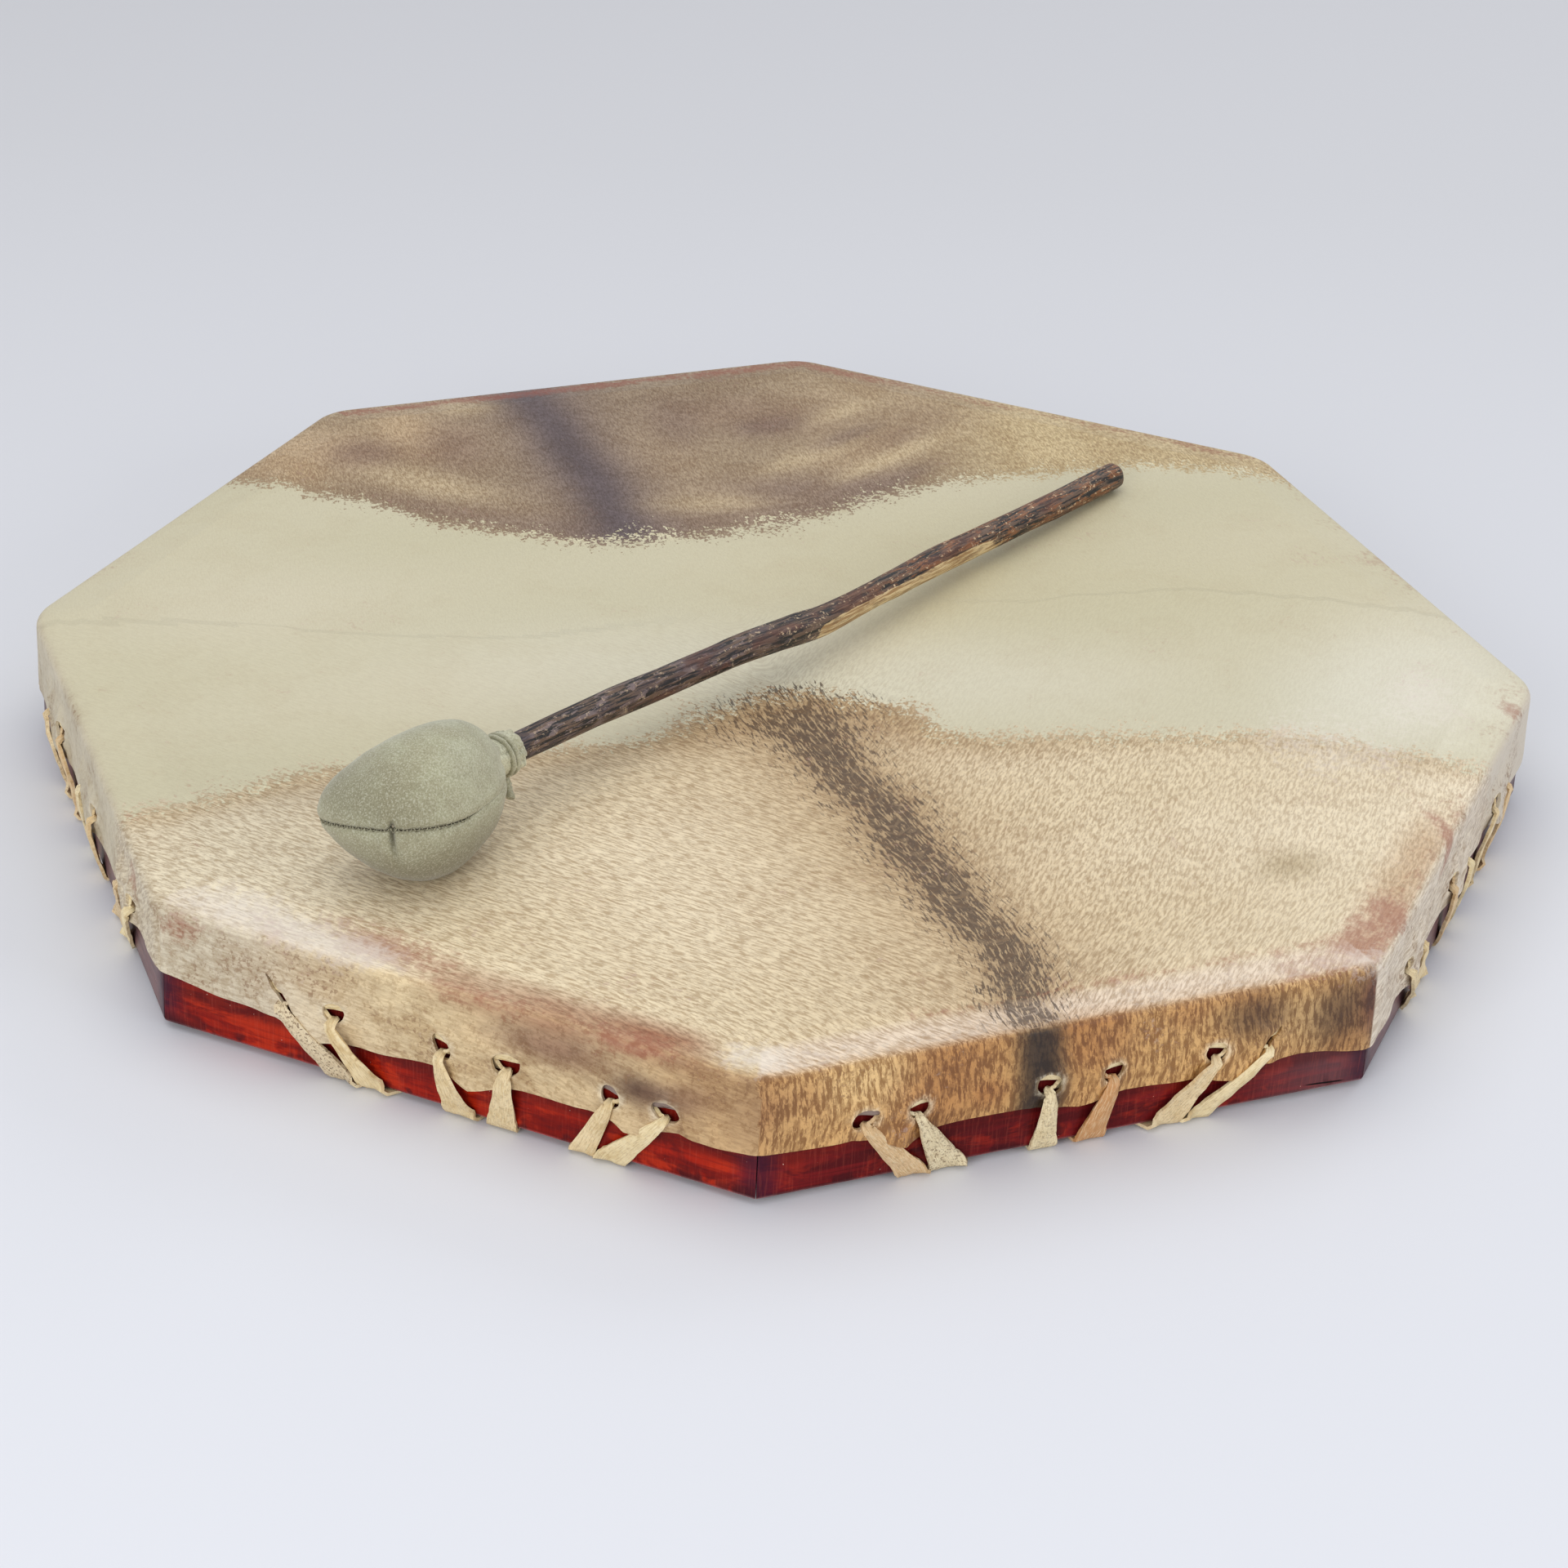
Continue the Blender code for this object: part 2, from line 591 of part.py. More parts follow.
def make_bindings():
    """Each spoke is bound with a cord just inside the frame, to a steady pitch."""
    outline = binding_loop()
    per_turn = len(outline)
    least = math.inf
    for k in range(SIDES):
        bound, outward, across = spoke_axes(k)
        points = []
        for i in range(BINDING_TURNS * per_turn + 1):
            x, z = outline[i % per_turn]
            back = BINDING_CORD_RADIUS + BINDING_PITCH * i / per_turn
            points.append(bound - outward * back + across * x + Vector((0, 0, SPOKE_HEIGHT + z)))
        least = min(least, self_gap(points, BINDING_CORD_RADIUS, per_turn))
        tube(f"spoke_binding_{k + 1}", points, BINDING_CORD_RADIUS, LACE)
    print(f"least gap of a spoke binding to itself: {least * 1000:.2f} mm")


def make_ring():
    bpy.ops.mesh.primitive_torus_add(major_radius=RING_RADIUS, minor_radius=RING_ROD_RADIUS, major_segments=28,
                                     minor_segments=8, location=(0, 0, RING_HEIGHT))
    place(bpy.context.object, "centre_ring", RING_STEEL)


def smooth_route(route, step):
    """Points along a smooth curve through the route's own points, a step apart, by Catmull and Rom's rule."""
    points = []
    for n in range(len(route) - 1):
        a, b, c, d = (Vector(route[min(max(n + i, 0), len(route) - 1)]) for i in (-1, 0, 1, 2))
        count = max(1, round((c - b).xyz.length / step))
        for i in range(count):
            t = i / count
            points.append(0.5 * (2 * b + (c - a) * t + (2 * a - 5 * b + 4 * c - d) * t ** 2
                                 + (3 * b - a - 3 * c + d) * t ** 3))
    points.append(Vector(route[-1]))
    return points


def head_shape(direction, inset):
    """The beater's head in its own frame, from a direction out of its middle."""
    tip = Vector(HEAD_TIP_WAY).normalized()
    toward = direction.dot(tip)
    point = Vector(direction[i] * (HEAD_HALF[i] - inset) for i in range(3))
    onward = tip * point.dot(tip)
    narrow = 1 - HEAD_TAPER * toward * (1 - toward ** 2)
    point = onward + (point - onward) * narrow + tip * HEAD_TIP * max(0, toward) ** 6
    floor = -(HEAD_HALF[2] - HEAD_FLAT - inset)
    return Vector((point.x, point.y, max(point.z, floor)))


def head_ball(inset):
    """A ball with its poles on the stick's line, shaped to the beater's head."""
    bm = bmesh.new()
    bmesh.ops.create_uvsphere(bm, u_segments=20, v_segments=12, radius=1,
                              matrix=Matrix.Rotation(math.pi / 2, 4, "Y"))
    for vert in bm.verts:
        vert.co = head_shape(vert.co, inset)
    return bm


def make_beater():
    """The beater in its own frame: its head's middle at the origin and its stick along +X."""
    head_z = SKIN_TOP + FIT_GAP + HEAD_HALF[2] - HEAD_FLAT
    anchor = bpy.data.objects.new("beater_place", None)
    anchor.location = (*BEATER_PLACE, head_z)
    anchor.rotation_euler.z = BEATER_HEADING
    DRUM.objects.link(anchor)
    drop = head_z - SKIN_TOP
    route = [(x, y, gap + STICK_RADIUS * girth - drop, girth) for x, y, gap, girth in STICK_ROUTE]
    fine = smooth_route(route, 0.011)
    points = [Vector(p[:3]) for p in fine]
    girths = [p[3] for p in fine]
    end = points[-1]
    onward = (points[-1] - points[-2]).normalized()
    for advance, girth in ((0.0022, 0.80), (0.0034, 0.48)):
        points.append(end + onward * advance)
        girths.append(girth)
    pieces = [tube("beater_stick", points, STICK_RADIUS, BARK, 2, girths)]

    inward = (points[0] - points[1]).normalized() * 2 * FIT_GAP
    bore = stick_bore([points[0] + inward] + points[:6], girths[:1] + girths[:6])
    padding = mesh_object("beater_padding", head_ball(COVER_THICKNESS + 2 * FIT_GAP), WADDING)
    pieces.append(padding)
    seam = Vector(SEAM_LEAN).normalized()
    for name, side in (("beater_cover_upper", 1), ("beater_cover_lower", -1)):
        bm = head_ball(0)
        bmesh.ops.bisect_plane(bm, geom=bm.verts[:] + bm.edges[:] + bm.faces[:], dist=1e-6,
                               plane_co=seam * side * SEAM_GAP / 2, plane_no=-seam * side, clear_outer=True)
        cover = mesh_object(name, bm, SUEDE)
        add_modifier(cover, "SOLIDIFY", thickness=COVER_THICKNESS, offset=-1.0, use_even_offset=True)
        pieces.append(cover)
    for piece in pieces[1:]:
        add_modifier(piece, "BOOLEAN", operation="DIFFERENCE", solver="EXACT", object=bore)
    pieces.append(bore)
    pieces += make_collar(points)
    for piece in pieces:
        piece.parent = anchor


def stick_bore(points, girths):
    """The stick's way into the head, a little wider than the stick, as a closed mesh."""
    curve = tube("stick_bore_curve", points, STICK_RADIUS + 2 * FIT_GAP, None, 2, girths)
    evaluated = curve.evaluated_get(bpy.context.evaluated_depsgraph_get())
    data = bpy.data.meshes.new_from_object(evaluated)
    bm = bmesh.new()
    bm.from_mesh(data)
    bmesh.ops.remove_doubles(bm, verts=bm.verts, dist=1e-6)
    bm.to_mesh(data)
    bm.free()
    plug = bpy.data.objects.new("stick_bore", data)
    bpy.data.objects.remove(curve, do_unlink=True)
    return cutter(place(plug, "stick_bore", None, CUTTERS))


def stick_at(points, x):
    """Middle of the stick at a distance along it."""
    for a, b in zip(points, points[1:]):
        if a.x <= x <= b.x:
            return a.lerp(b, (x - a.x) / (b.x - a.x))
    return points[-1]


COLLAR_FACETS = 16


def make_collar(points):
    """The suede gathered round the stick's neck, in folds, and the thong that ties it."""
    bm = bmesh.new()
    waist = COLLAR_RADIUS - 0.0010
    profile = [(0.00, COLLAR_RADIUS), (0.10, COLLAR_RADIUS + 0.0004), (0.22, waist), (0.78, waist),
               (0.90, COLLAR_RADIUS + 0.0004), (1.00, COLLAR_RADIUS - 0.0004)]
    inner = STICK_RADIUS * NECK_GIRTH + FIT_GAP + 0.00005
    rings = []
    loop = [(share, radius, 0.0005) for share, radius in profile]
    loop += [(share, inner, 0.0) for share in (1.0, 0.5, 0.0)]
    for share, radius, fold in loop:
        middle = stick_at(points, COLLAR_START + COLLAR_LENGTH * share)
        ring = []
        for i in range(COLLAR_FACETS):
            angle = 2 * math.pi * i / COLLAR_FACETS
            reach = radius + fold * (1 if i % 2 else -1)
            ring.append(bm.verts.new(middle + Vector((0, math.cos(angle), math.sin(angle))) * reach))
        rings.append(ring)
    for n, one in enumerate(rings):
        two = rings[(n + 1) % len(rings)]
        for i in range(COLLAR_FACETS):
            j = (i + 1) % COLLAR_FACETS
            bm.faces.new((one[i], one[j], two[j], two[i]))
    bmesh.ops.recalc_face_normals(bm, faces=bm.faces)
    collar = mesh_object("beater_collar", bm, SUEDE)
    per_turn = 10
    pitch = 2 * THONG_RADIUS + 0.0005
    reach = waist + 0.0005 + FIT_GAP + THONG_RADIUS + 0.0004
    start = COLLAR_START + COLLAR_LENGTH / 2 - pitch * THONG_TURNS / 2
    route = []
    for i in range(per_turn * THONG_TURNS + 1):
        angle = 2 * math.pi * i / per_turn - math.pi / 2
        x = start + pitch * i / per_turn
        route.append(stick_at(points, x) + Vector((0, math.cos(angle), math.sin(angle))) * reach)
    print(f"least gap of the beater's thong to itself: {self_gap(route, THONG_RADIUS, per_turn) * 1000:.2f} mm")
    return [collar, tube("beater_thong", route, THONG_RADIUS, SUEDE)]


make_boards()
make_head()
make_laces()
make_bindings()
make_ring()
make_beater()
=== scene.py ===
"""Looks of the octagonal frame drum and the beater that lies on it."""

import json
import math

import bpy
import numpy as np
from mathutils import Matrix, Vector

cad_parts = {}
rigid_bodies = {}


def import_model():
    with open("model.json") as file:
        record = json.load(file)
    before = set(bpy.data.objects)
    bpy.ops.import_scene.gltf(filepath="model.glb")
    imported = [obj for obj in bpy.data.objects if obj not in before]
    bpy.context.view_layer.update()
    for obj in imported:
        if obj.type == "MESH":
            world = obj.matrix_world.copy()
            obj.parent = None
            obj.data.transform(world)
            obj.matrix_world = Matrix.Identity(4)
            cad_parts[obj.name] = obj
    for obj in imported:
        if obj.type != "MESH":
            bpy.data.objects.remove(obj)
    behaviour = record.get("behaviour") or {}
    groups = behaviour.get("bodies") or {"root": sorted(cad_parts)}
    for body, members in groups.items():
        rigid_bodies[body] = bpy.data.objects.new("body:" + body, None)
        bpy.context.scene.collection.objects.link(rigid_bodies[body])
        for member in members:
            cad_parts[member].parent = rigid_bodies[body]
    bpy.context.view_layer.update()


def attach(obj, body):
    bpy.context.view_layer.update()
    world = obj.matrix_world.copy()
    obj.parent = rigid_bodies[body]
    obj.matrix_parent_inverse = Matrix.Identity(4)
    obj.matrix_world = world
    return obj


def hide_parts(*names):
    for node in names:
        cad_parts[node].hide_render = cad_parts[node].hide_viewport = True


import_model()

# The drum's sizes, as the CAD has them, in metres
HALF_TURN = math.pi / 8
APOTHEM = 0.2525
HALF_SIDE = APOTHEM * math.tan(HALF_TURN)
WOOD_BOTTOM = 0.0017
CREST_TOP = 0.0480
BOARD_THICKNESS = 0.0215
RIM_SLOPE = math.radians(8.0)
CREST_RADIUS = 0.0030
EDGE_RADIUS = 0.0022
FOOT_RADIUS = 0.0015
CORNER_AT_FOOT = 0.001      # plan radius of the frame's corners, which grows towards the top
CORNER_GROWTH = 0.019
CORNER_RISE = 0.0403
SKIN = 0.0012
GAP = 0.0003
SKIN_TOP = 0.0495
HOLE_Z = 0.0262
LACE = 0.0014
BULGE_TOP = HOLE_Z + 0.0045
BULGE_END = HOLE_Z + 0.0110
GATHER_DEPTH = 0.065
RING_RADIUS = 0.025
RING_ROD = 0.0025
RING_HEIGHT = 0.0048
HOLES = (-0.069, -0.050, -0.010, 0.010, 0.050, 0.069)
HOLES_OF_SIDE = {
    0: (-0.071, -0.0535, -0.010, 0.0117, 0.0478, 0.0665),
    6: (-0.071, -0.050, -0.013, 0.009, 0.052, 0.070),
    7: (-0.0585, -0.0398, -0.0014, 0.0210, 0.0566, 0.0750),
}
SPOKE_SHIFT_OF_SIDE = {0: -0.005, 7: 0.018}
UP = np.array([0.0, 0.0, 1.0])


# Shader maths

class Value:
    """A socket of a finish's nodes. Expressions on it add their Math nodes."""

    def __init__(self, finish, socket):
        self.finish, self.socket = finish, socket

    def maths(self, operation, *others, **settings):
        inputs = dict(enumerate((self, *others)))
        return self.finish.node("ShaderNodeMath", {"operation": operation, **settings}, inputs)

    def __add__(self, other):
        return self.maths("ADD", other)

    def __sub__(self, other):
        return self.maths("SUBTRACT", other)

    def __mul__(self, other):
        return self.maths("MULTIPLY", other)

    def __truediv__(self, other):
        return self.maths("DIVIDE", other)

    def __rsub__(self, other):
        return self.finish.node("ShaderNodeMath", {"operation": "SUBTRACT"}, {0: other, 1: self})

    __radd__ = __add__

    def clamped(self):
        return self.maths("ADD", 0.0, use_clamp=True)

    def step(self, low, high):
        """0 below low and 1 above high, smooth between them."""
        return self.finish.node("ShaderNodeMapRange", {"interpolation_type": "SMOOTHSTEP"},
                                {"Value": self, "From Min": low, "From Max": high})


class Finish:
    """A material built node by node on the standard shader."""

    def __init__(self, name, **constants):
        self.material = bpy.data.materials.new(name)
        self.material.use_nodes = True
        self.tree = self.material.node_tree
        self.shader = self.tree.nodes["Principled BSDF"]
        for key, value in constants.items():
            self.shader.inputs[key.replace("_", " ")].default_value = value

    def feed(self, socket, value):
        if isinstance(value, Value):
            self.tree.links.new(value.socket, socket)
        else:
            socket.default_value = value

    def node(self, kind, settings=None, inputs=None, output=0):
        made = self.tree.nodes.new(kind)
        for key, value in (settings or {}).items():
            setattr(made, key, value)
        for key, value in (inputs or {}).items():
            self.feed(made.inputs[key], value)
        return Value(self, made.outputs[output])

    def place(self):
        return self.node("ShaderNodeTexCoord", output="Object")

    def map(self, name):
        return self.node("ShaderNodeUVMap", {"uv_map": name})

    def attribute(self, name, output="Fac"):
        return self.node("ShaderNodeAttribute", {"attribute_name": name}, output=output)

    def parts(self, vector):
        made = self.tree.nodes.new("ShaderNodeSeparateXYZ")
        self.feed(made.inputs[0], vector)
        return [Value(self, made.outputs[i]) for i in range(3)]

    def noise(self, vector, scale, detail=3.0, roughness=0.55, distortion=0.0):
        return self.node("ShaderNodeTexNoise", None, {"Vector": vector, "Scale": scale, "Detail": detail,
                                                     "Roughness": roughness, "Distortion": distortion})

    def streaks(self, vector, scales, detail=3.0, roughness=0.6, distortion=0.0):
        """Noise with its own scale along each axis."""
        vector = self.node("ShaderNodeVectorMath", {"operation": "MULTIPLY"}, {0: vector, 1: scales})
        return self.noise(vector, 1.0, detail, roughness, distortion)

    def mix(self, factor, one, two, blend="MIX"):
        """Colour one, turned towards colour two by the factor."""
        made = self.tree.nodes.new("ShaderNodeMix")
        made.data_type, made.blend_type = "RGBA", blend
        self.feed(made.inputs[0], factor)
        for index, colour in ((6, one), (7, two)):
            self.feed(made.inputs[index], colour if isinstance(colour, Value) else (*colour, 1.0))
        return Value(self, made.outputs[2])

    def layers(self, tone, *coats):
        """A colour under coats, each a factor and the colour that it turns towards."""
        for factor, colour in coats:
            tone = self.mix(factor, tone, colour)
        return tone

    def ramp(self, factor, *stops):
        made = self.tree.nodes.new("ShaderNodeValToRGB")
        elements = made.color_ramp.elements
        while len(elements) < len(stops):
            elements.new(0.5)
        for element, (place, colour) in zip(elements, stops):
            element.position, element.color = place, (*colour, 1.0)
        self.feed(made.inputs["Fac"], factor)
        return Value(self, made.outputs[0])

    def bump(self, height, distance, strength):
        return self.node("ShaderNodeBump", None,
                         {"Height": height, "Distance": distance, "Strength": strength})

    def wear(self, tone, bump, **channels):
        """Links what varies over the surface to the shader's own sockets."""
        for key, value in {"Base_Color": tone, "Normal": self.bump(*bump), **channels}.items():
            self.tree.links.new(value.socket, self.shader.inputs[key.replace("_", " ")])
        return self.material


def shade(red, green, blue):
    """A colour given as it looks on a screen, from 0 to 255, as the shader's own numbers."""
    return tuple((c / 255 / 12.92) if c <= 10 else ((c / 255 + 0.055) / 1.055) ** 2.4
                 for c in (red, green, blue))


# Sums on many points at once

def bell(value, width, power=2):
    """1 where the value is 0, fading out past the width."""
    return np.exp(-np.abs(value / width) ** power)


def smooth(value, low, high):
    """0 below low and 1 above high, smooth between them."""
    t = np.clip((value - low) / (high - low), 0, 1)
    return t * t * (3 - 2 * t)


def unit(vectors):
    return vectors / np.linalg.norm(vectors, axis=-1, keepdims=True)


def quarter_turned(vector):
    return np.array([-vector[1], vector[0], 0.0])


def turned(x, y, angle):
    c, s = math.cos(angle), math.sin(angle)
    return x * c - y * s, x * s + y * c


def half_turn_either_way(angle):
    return (angle + math.pi) % (2 * math.pi) - math.pi


def curve_through(stations, places):
    """Values of a smooth curve through the stations, at fractional station numbers."""
    stations = np.asarray(stations, float)
    last = len(stations) - 1
    places = np.clip(np.asarray(places, float), 0, last - 1e-9)
    n = np.floor(places).astype(int)
    t = (places - n)[:, None]
    a, b, c, d = (stations[np.clip(n + i, 0, last)] for i in (-1, 0, 1, 2))
    return 0.5 * (2 * b + (c - a) * t + (2 * a - 5 * b + 4 * c - d) * t ** 2
                  + (3 * b - a - 3 * c + d) * t ** 3)


def ripple(points, wavelength, seed):
    """Smooth unevenness from about -1 to 1, the same on every run."""
    rng = np.random.default_rng(seed)
    total = np.zeros(len(points))
    for _ in range(9):
        direction = rng.normal(size=3)
        direction *= rng.uniform(0.6, 1.6) * 2 * math.pi / wavelength / np.linalg.norm(direction)
        total += np.sin(points @ direction + rng.uniform(0, 2 * math.pi))
    return total / 4.5


# Making pieces

def choose(*pieces):
    """Selects pieces, the first one active."""
    bpy.ops.object.select_all(action="DESELECT")
    for piece in pieces:
        piece.select_set(True)
    bpy.context.view_layer.objects.active = pieces[0]


def add(operator, name, **values):
    """A new primitive, named."""
    bpy.ops.object.select_all(action="DESELECT")
    operator(**values)
    piece = bpy.context.object
    piece.name = piece.data.name = name
    return piece


def join(*pieces):
    """Joins pieces into the first."""
    choose(*pieces)
    bpy.ops.object.join()
    return pieces[0]


def points_of(piece):
    flat = np.empty(len(piece.data.vertices) * 3)
    piece.data.vertices.foreach_get("co", flat)
    return flat.reshape(-1, 3)


def set_points(piece, points):
    piece.data.vertices.foreach_set("co", np.asarray(points, float).reshape(-1))
    piece.data.update()


def loops_of(piece):
    """The vertex at each face corner, and each face's first corner."""
    loops, starts = np.empty(len(piece.data.loops), int), np.empty(len(piece.data.polygons), int)
    piece.data.loops.foreach_get("vertex_index", loops)
    piece.data.polygons.foreach_get("loop_start", starts)
    return loops, starts


def store(piece, **layers):
    """Keeps values at the piece's points, padded with 0 for the points added since they were worked out."""
    for name, values in layers.items():
        kept = np.zeros(len(piece.data.vertices))
        kept[:len(kept) if np.ndim(values) == 0 else len(values)] = values
        piece.data.attributes.new(name, "FLOAT", "POINT").data.foreach_set("value", kept)


def store_map(piece, name, coordinates, layer=None):
    """Keeps texture coordinates at the face corners, in a new layer if none is given."""
    layer = layer or piece.data.uv_layers.new(name=name)
    layer.name = name
    layer.data.foreach_set("uv", coordinates.reshape(-1))


def settle(piece, finish, body, slot, *nodes, smooth=40):
    """Applies the piece's modifiers and gives it its finish, its body and the nodes that it stands for."""
    choose(piece)
    for modifier in list(piece.modifiers):
        bpy.ops.object.modifier_apply(modifier=modifier.name)
    bpy.ops.object.transform_apply(location=True, rotation=True, scale=True)
    bpy.ops.object.shade_smooth_by_angle(angle=math.radians(smooth))
    piece.data.materials.clear()
    piece.data.materials.append(finish)
    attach(piece, body)
    if nodes:
        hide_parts(*nodes)
    return piece


def modify(piece, kind, **values):
    made = piece.modifiers.new(kind.title(), kind)
    for key, value in values.items():
        setattr(made, key, value)


def edit(piece, *steps):
    """Runs mesh operators on the piece in edit mode."""
    choose(piece)
    bpy.ops.object.mode_set(mode="EDIT")
    for step in steps:
        step()
    bpy.ops.object.mode_set(mode="OBJECT")


def subdivide(piece, cuts):
    edit(piece, lambda: bpy.ops.mesh.select_all(action="SELECT"),
         lambda: bpy.ops.mesh.subdivide(number_cuts=cuts, smoothness=0.0))


def outward_faces():
    bpy.ops.mesh.select_all(action="SELECT")
    bpy.ops.mesh.normals_make_consistent(inside=False)


def stacked_loops(name, columns, rows):
    """A tube of unit circles one above another. Returns the piece and each vertex's column and row."""
    piece = add(bpy.ops.mesh.primitive_circle_add, name, vertices=columns, radius=1.0)

    def extrude():
        bpy.ops.mesh.select_all(action="SELECT")
        for _ in range(rows - 1):
            bpy.ops.mesh.extrude_region_move(TRANSFORM_OT_translate={"value": (0, 0, -1)})

    edit(piece, extrude)
    points = points_of(piece)
    column = np.rint(np.arctan2(points[:, 1], points[:, 0]) / (2 * math.pi) * columns).astype(int) % columns
    return piece, column, np.rint(-points[:, 2]).astype(int)


def close_row(piece, row, number):
    """Closes a stack of loops with a fan of faces on one of its rows."""
    def fan():
        bpy.ops.mesh.select_all(action="DESELECT")
        bpy.ops.mesh.select_mode(type="EDGE")
        bpy.ops.object.mode_set(mode="OBJECT")
        for edge in piece.data.edges:
            edge.select = all(row[v] == number for v in edge.vertices)
        bpy.ops.object.mode_set(mode="EDIT")
        bpy.ops.mesh.edge_face_add()
        bpy.ops.mesh.poke()

    edit(piece, fan, outward_faces)


# The drum's shape

def corner_angle(k):
    return -math.pi / 2 + k * 2 * HALF_TURN


def side_axes(k):
    """Outward and along side k."""
    angle = corner_angle(k) + HALF_TURN
    outward = np.array([math.cos(angle), math.sin(angle), 0.0])
    return outward, quarter_turned(outward)


def side_of(points):
    angle = np.arctan2(points[:, 1], points[:, 0]) - corner_angle(0)
    return np.floor(angle / (2 * HALF_TURN)).astype(int) % 8


def on_side(k, along, out, z):
    outward, sideways = side_axes(k)
    return outward * (APOTHEM + out) + sideways * along + UP * z


def bound_point(k):
    """Where spoke k is bound, at height 0, and its own outward direction."""
    bound = on_side(k, SPOKE_SHIFT_OF_SIDE.get(k, 0.0), -GATHER_DEPTH, 0)
    return bound, unit(bound)


def holes_of(k):
    return HOLES_OF_SIDE.get(k, HOLES)


def pairs_of(k):
    holes = holes_of(k)
    return list(zip(holes[0::2], holes[1::2]))


def stretch_over_laces(k, along, z):
    """How far the head stands off the wood over the laces that pass behind it."""
    lift = np.zeros_like(along)
    for left, right in pairs_of(k):
        inside = np.minimum(along - left, right - along)
        lift = np.maximum(lift, smooth(inside, -0.0055, 0.0030))
    return 0.0017 * lift * smooth(-z, -BULGE_END, -BULGE_TOP)


# Height of the head's lower edge along the two sides that face the camera, in millimetres
HEM_OF_SIDE = {
    7: ((-104.6, 21.6), (-102.2, 21.4), (-87.5, 19.6), (-72.2, 18.6), (-56.0, 17.2), (-50.5, 15.0),
        (-46.1, 14.2), (-40.5, 14.8), (-33.7, 15.8), (-19.6, 16.0), (-8.5, 17.2), (-0.7, 17.7), (5.5, 15.7),
        (8.0, 14.2), (12, 14.6), (15.6, 16.3), (21.8, 17.5), (35.1, 17.9), (43.5, 17.2), (51.3, 17.9),
        (58.5, 17.4), (63.6, 16.0), (68, 16.4), (74.7, 19.2), (80.7, 19.4), (85.8, 18.1), (94.8, 18.3),
        (104.6, 19.1)),
    0: ((-104.6, 19.1), (-92.9, 18.5), (-83.1, 18.9), (-73.3, 18.6), (-68.0, 18.3), (-64.4, 16.9),
        (-61.0, 14.4), (-58.0, 14.0), (-55.0, 15.4), (-50.9, 17.4), (-46.9, 17.7), (-33.3, 18.3),
        (-16.2, 18.0), (-11.4, 17.4), (-5.2, 17.3), (0.0, 16.8), (6.4, 17.5), (12.7, 17.9), (26.2, 17.4),
        (42.7, 17.1), (50.1, 15.3), (56.7, 14.7), (61.0, 16.4), (64.9, 17.8), (70.3, 18.1), (81.4, 18.6),
        (90.9, 17.6), (104.6, 15.4)),
}
HEM_AT_CORNER = (19.0, 15.4, 17.0, 17.9, 17.0, 17.9, 17.0, 21.6)
HEM_MIDDLE = 0.0177


def hem(k, along):
    """Height of the head's lower edge."""
    if k in HEM_OF_SIDE:
        places, heights = zip(*HEM_OF_SIDE[k])
        return np.interp(along * 1000, places, heights) / 1000
    share = np.abs(along) / HALF_SIDE
    corner = np.where(along > 0, HEM_AT_CORNER[(k + 1) % 8], HEM_AT_CORNER[k]) / 1000
    height = HEM_MIDDLE + (corner - HEM_MIDDLE) * share ** 3
    for number, (left, right) in enumerate(pairs_of(k)):
        near = np.clip(np.abs(along - (left + right) / 2) / ((right - left) / 2), 0, 1)
        height = height - (0.0022 + 0.0008 * math.sin(7 * k + 3 * number)) * (1 + np.cos(math.pi * near)) / 2
    return height + 0.0004 * np.sin(along * 260 + 2 * k) + 0.0002 * np.sin(along * 610 + k)


def rim_rows():
    """The head's outer surface from the crest out and down: distance out, height and corner radius."""
    crest = (BOARD_THICKNESS - CREST_RADIUS, CREST_TOP - CREST_RADIUS)
    reach = -crest[0] * math.sin(RIM_SLOPE) + crest[1] * math.cos(RIM_SLOPE) + CREST_RADIUS
    edge = (EDGE_RADIUS, (reach - EDGE_RADIUS + EDGE_RADIUS * math.sin(RIM_SLOPE)) / math.cos(RIM_SLOPE))
    foot = WOOD_BOTTOM + FOOT_RADIUS

    def row(centre, radius, turn):
        far = radius + GAP + SKIN
        depth, z = centre[0] + far * math.sin(turn), centre[1] + far * math.cos(turn)
        wood_depth = centre[0] + radius * math.sin(turn)
        share = (centre[1] + radius * math.cos(turn) - foot) / (edge[1] - foot)
        corner = CORNER_AT_FOOT + CORNER_GROWTH * min(1.0, max(0.0, share))
        return -depth, z, max(CORNER_AT_FOOT, corner - wood_depth) + wood_depth - depth

    rows = [row(crest, CREST_RADIUS, -RIM_SLOPE * i / 3) for i in range(4)]
    start, end = rows[-1], row(edge, EDGE_RADIUS, -RIM_SLOPE)
    rows += [tuple(a + (b - a) * i / 4 for a, b in zip(start, end)) for i in range(1, 4)]
    return rows + [row(edge, EDGE_RADIUS, -RIM_SLOPE - (math.pi / 2 - RIM_SLOPE) * i / 6) for i in range(7)]


TOP_ROWS = 38
SIDE_ROWS = 11
PER_SIDE = 56
ARC = 5


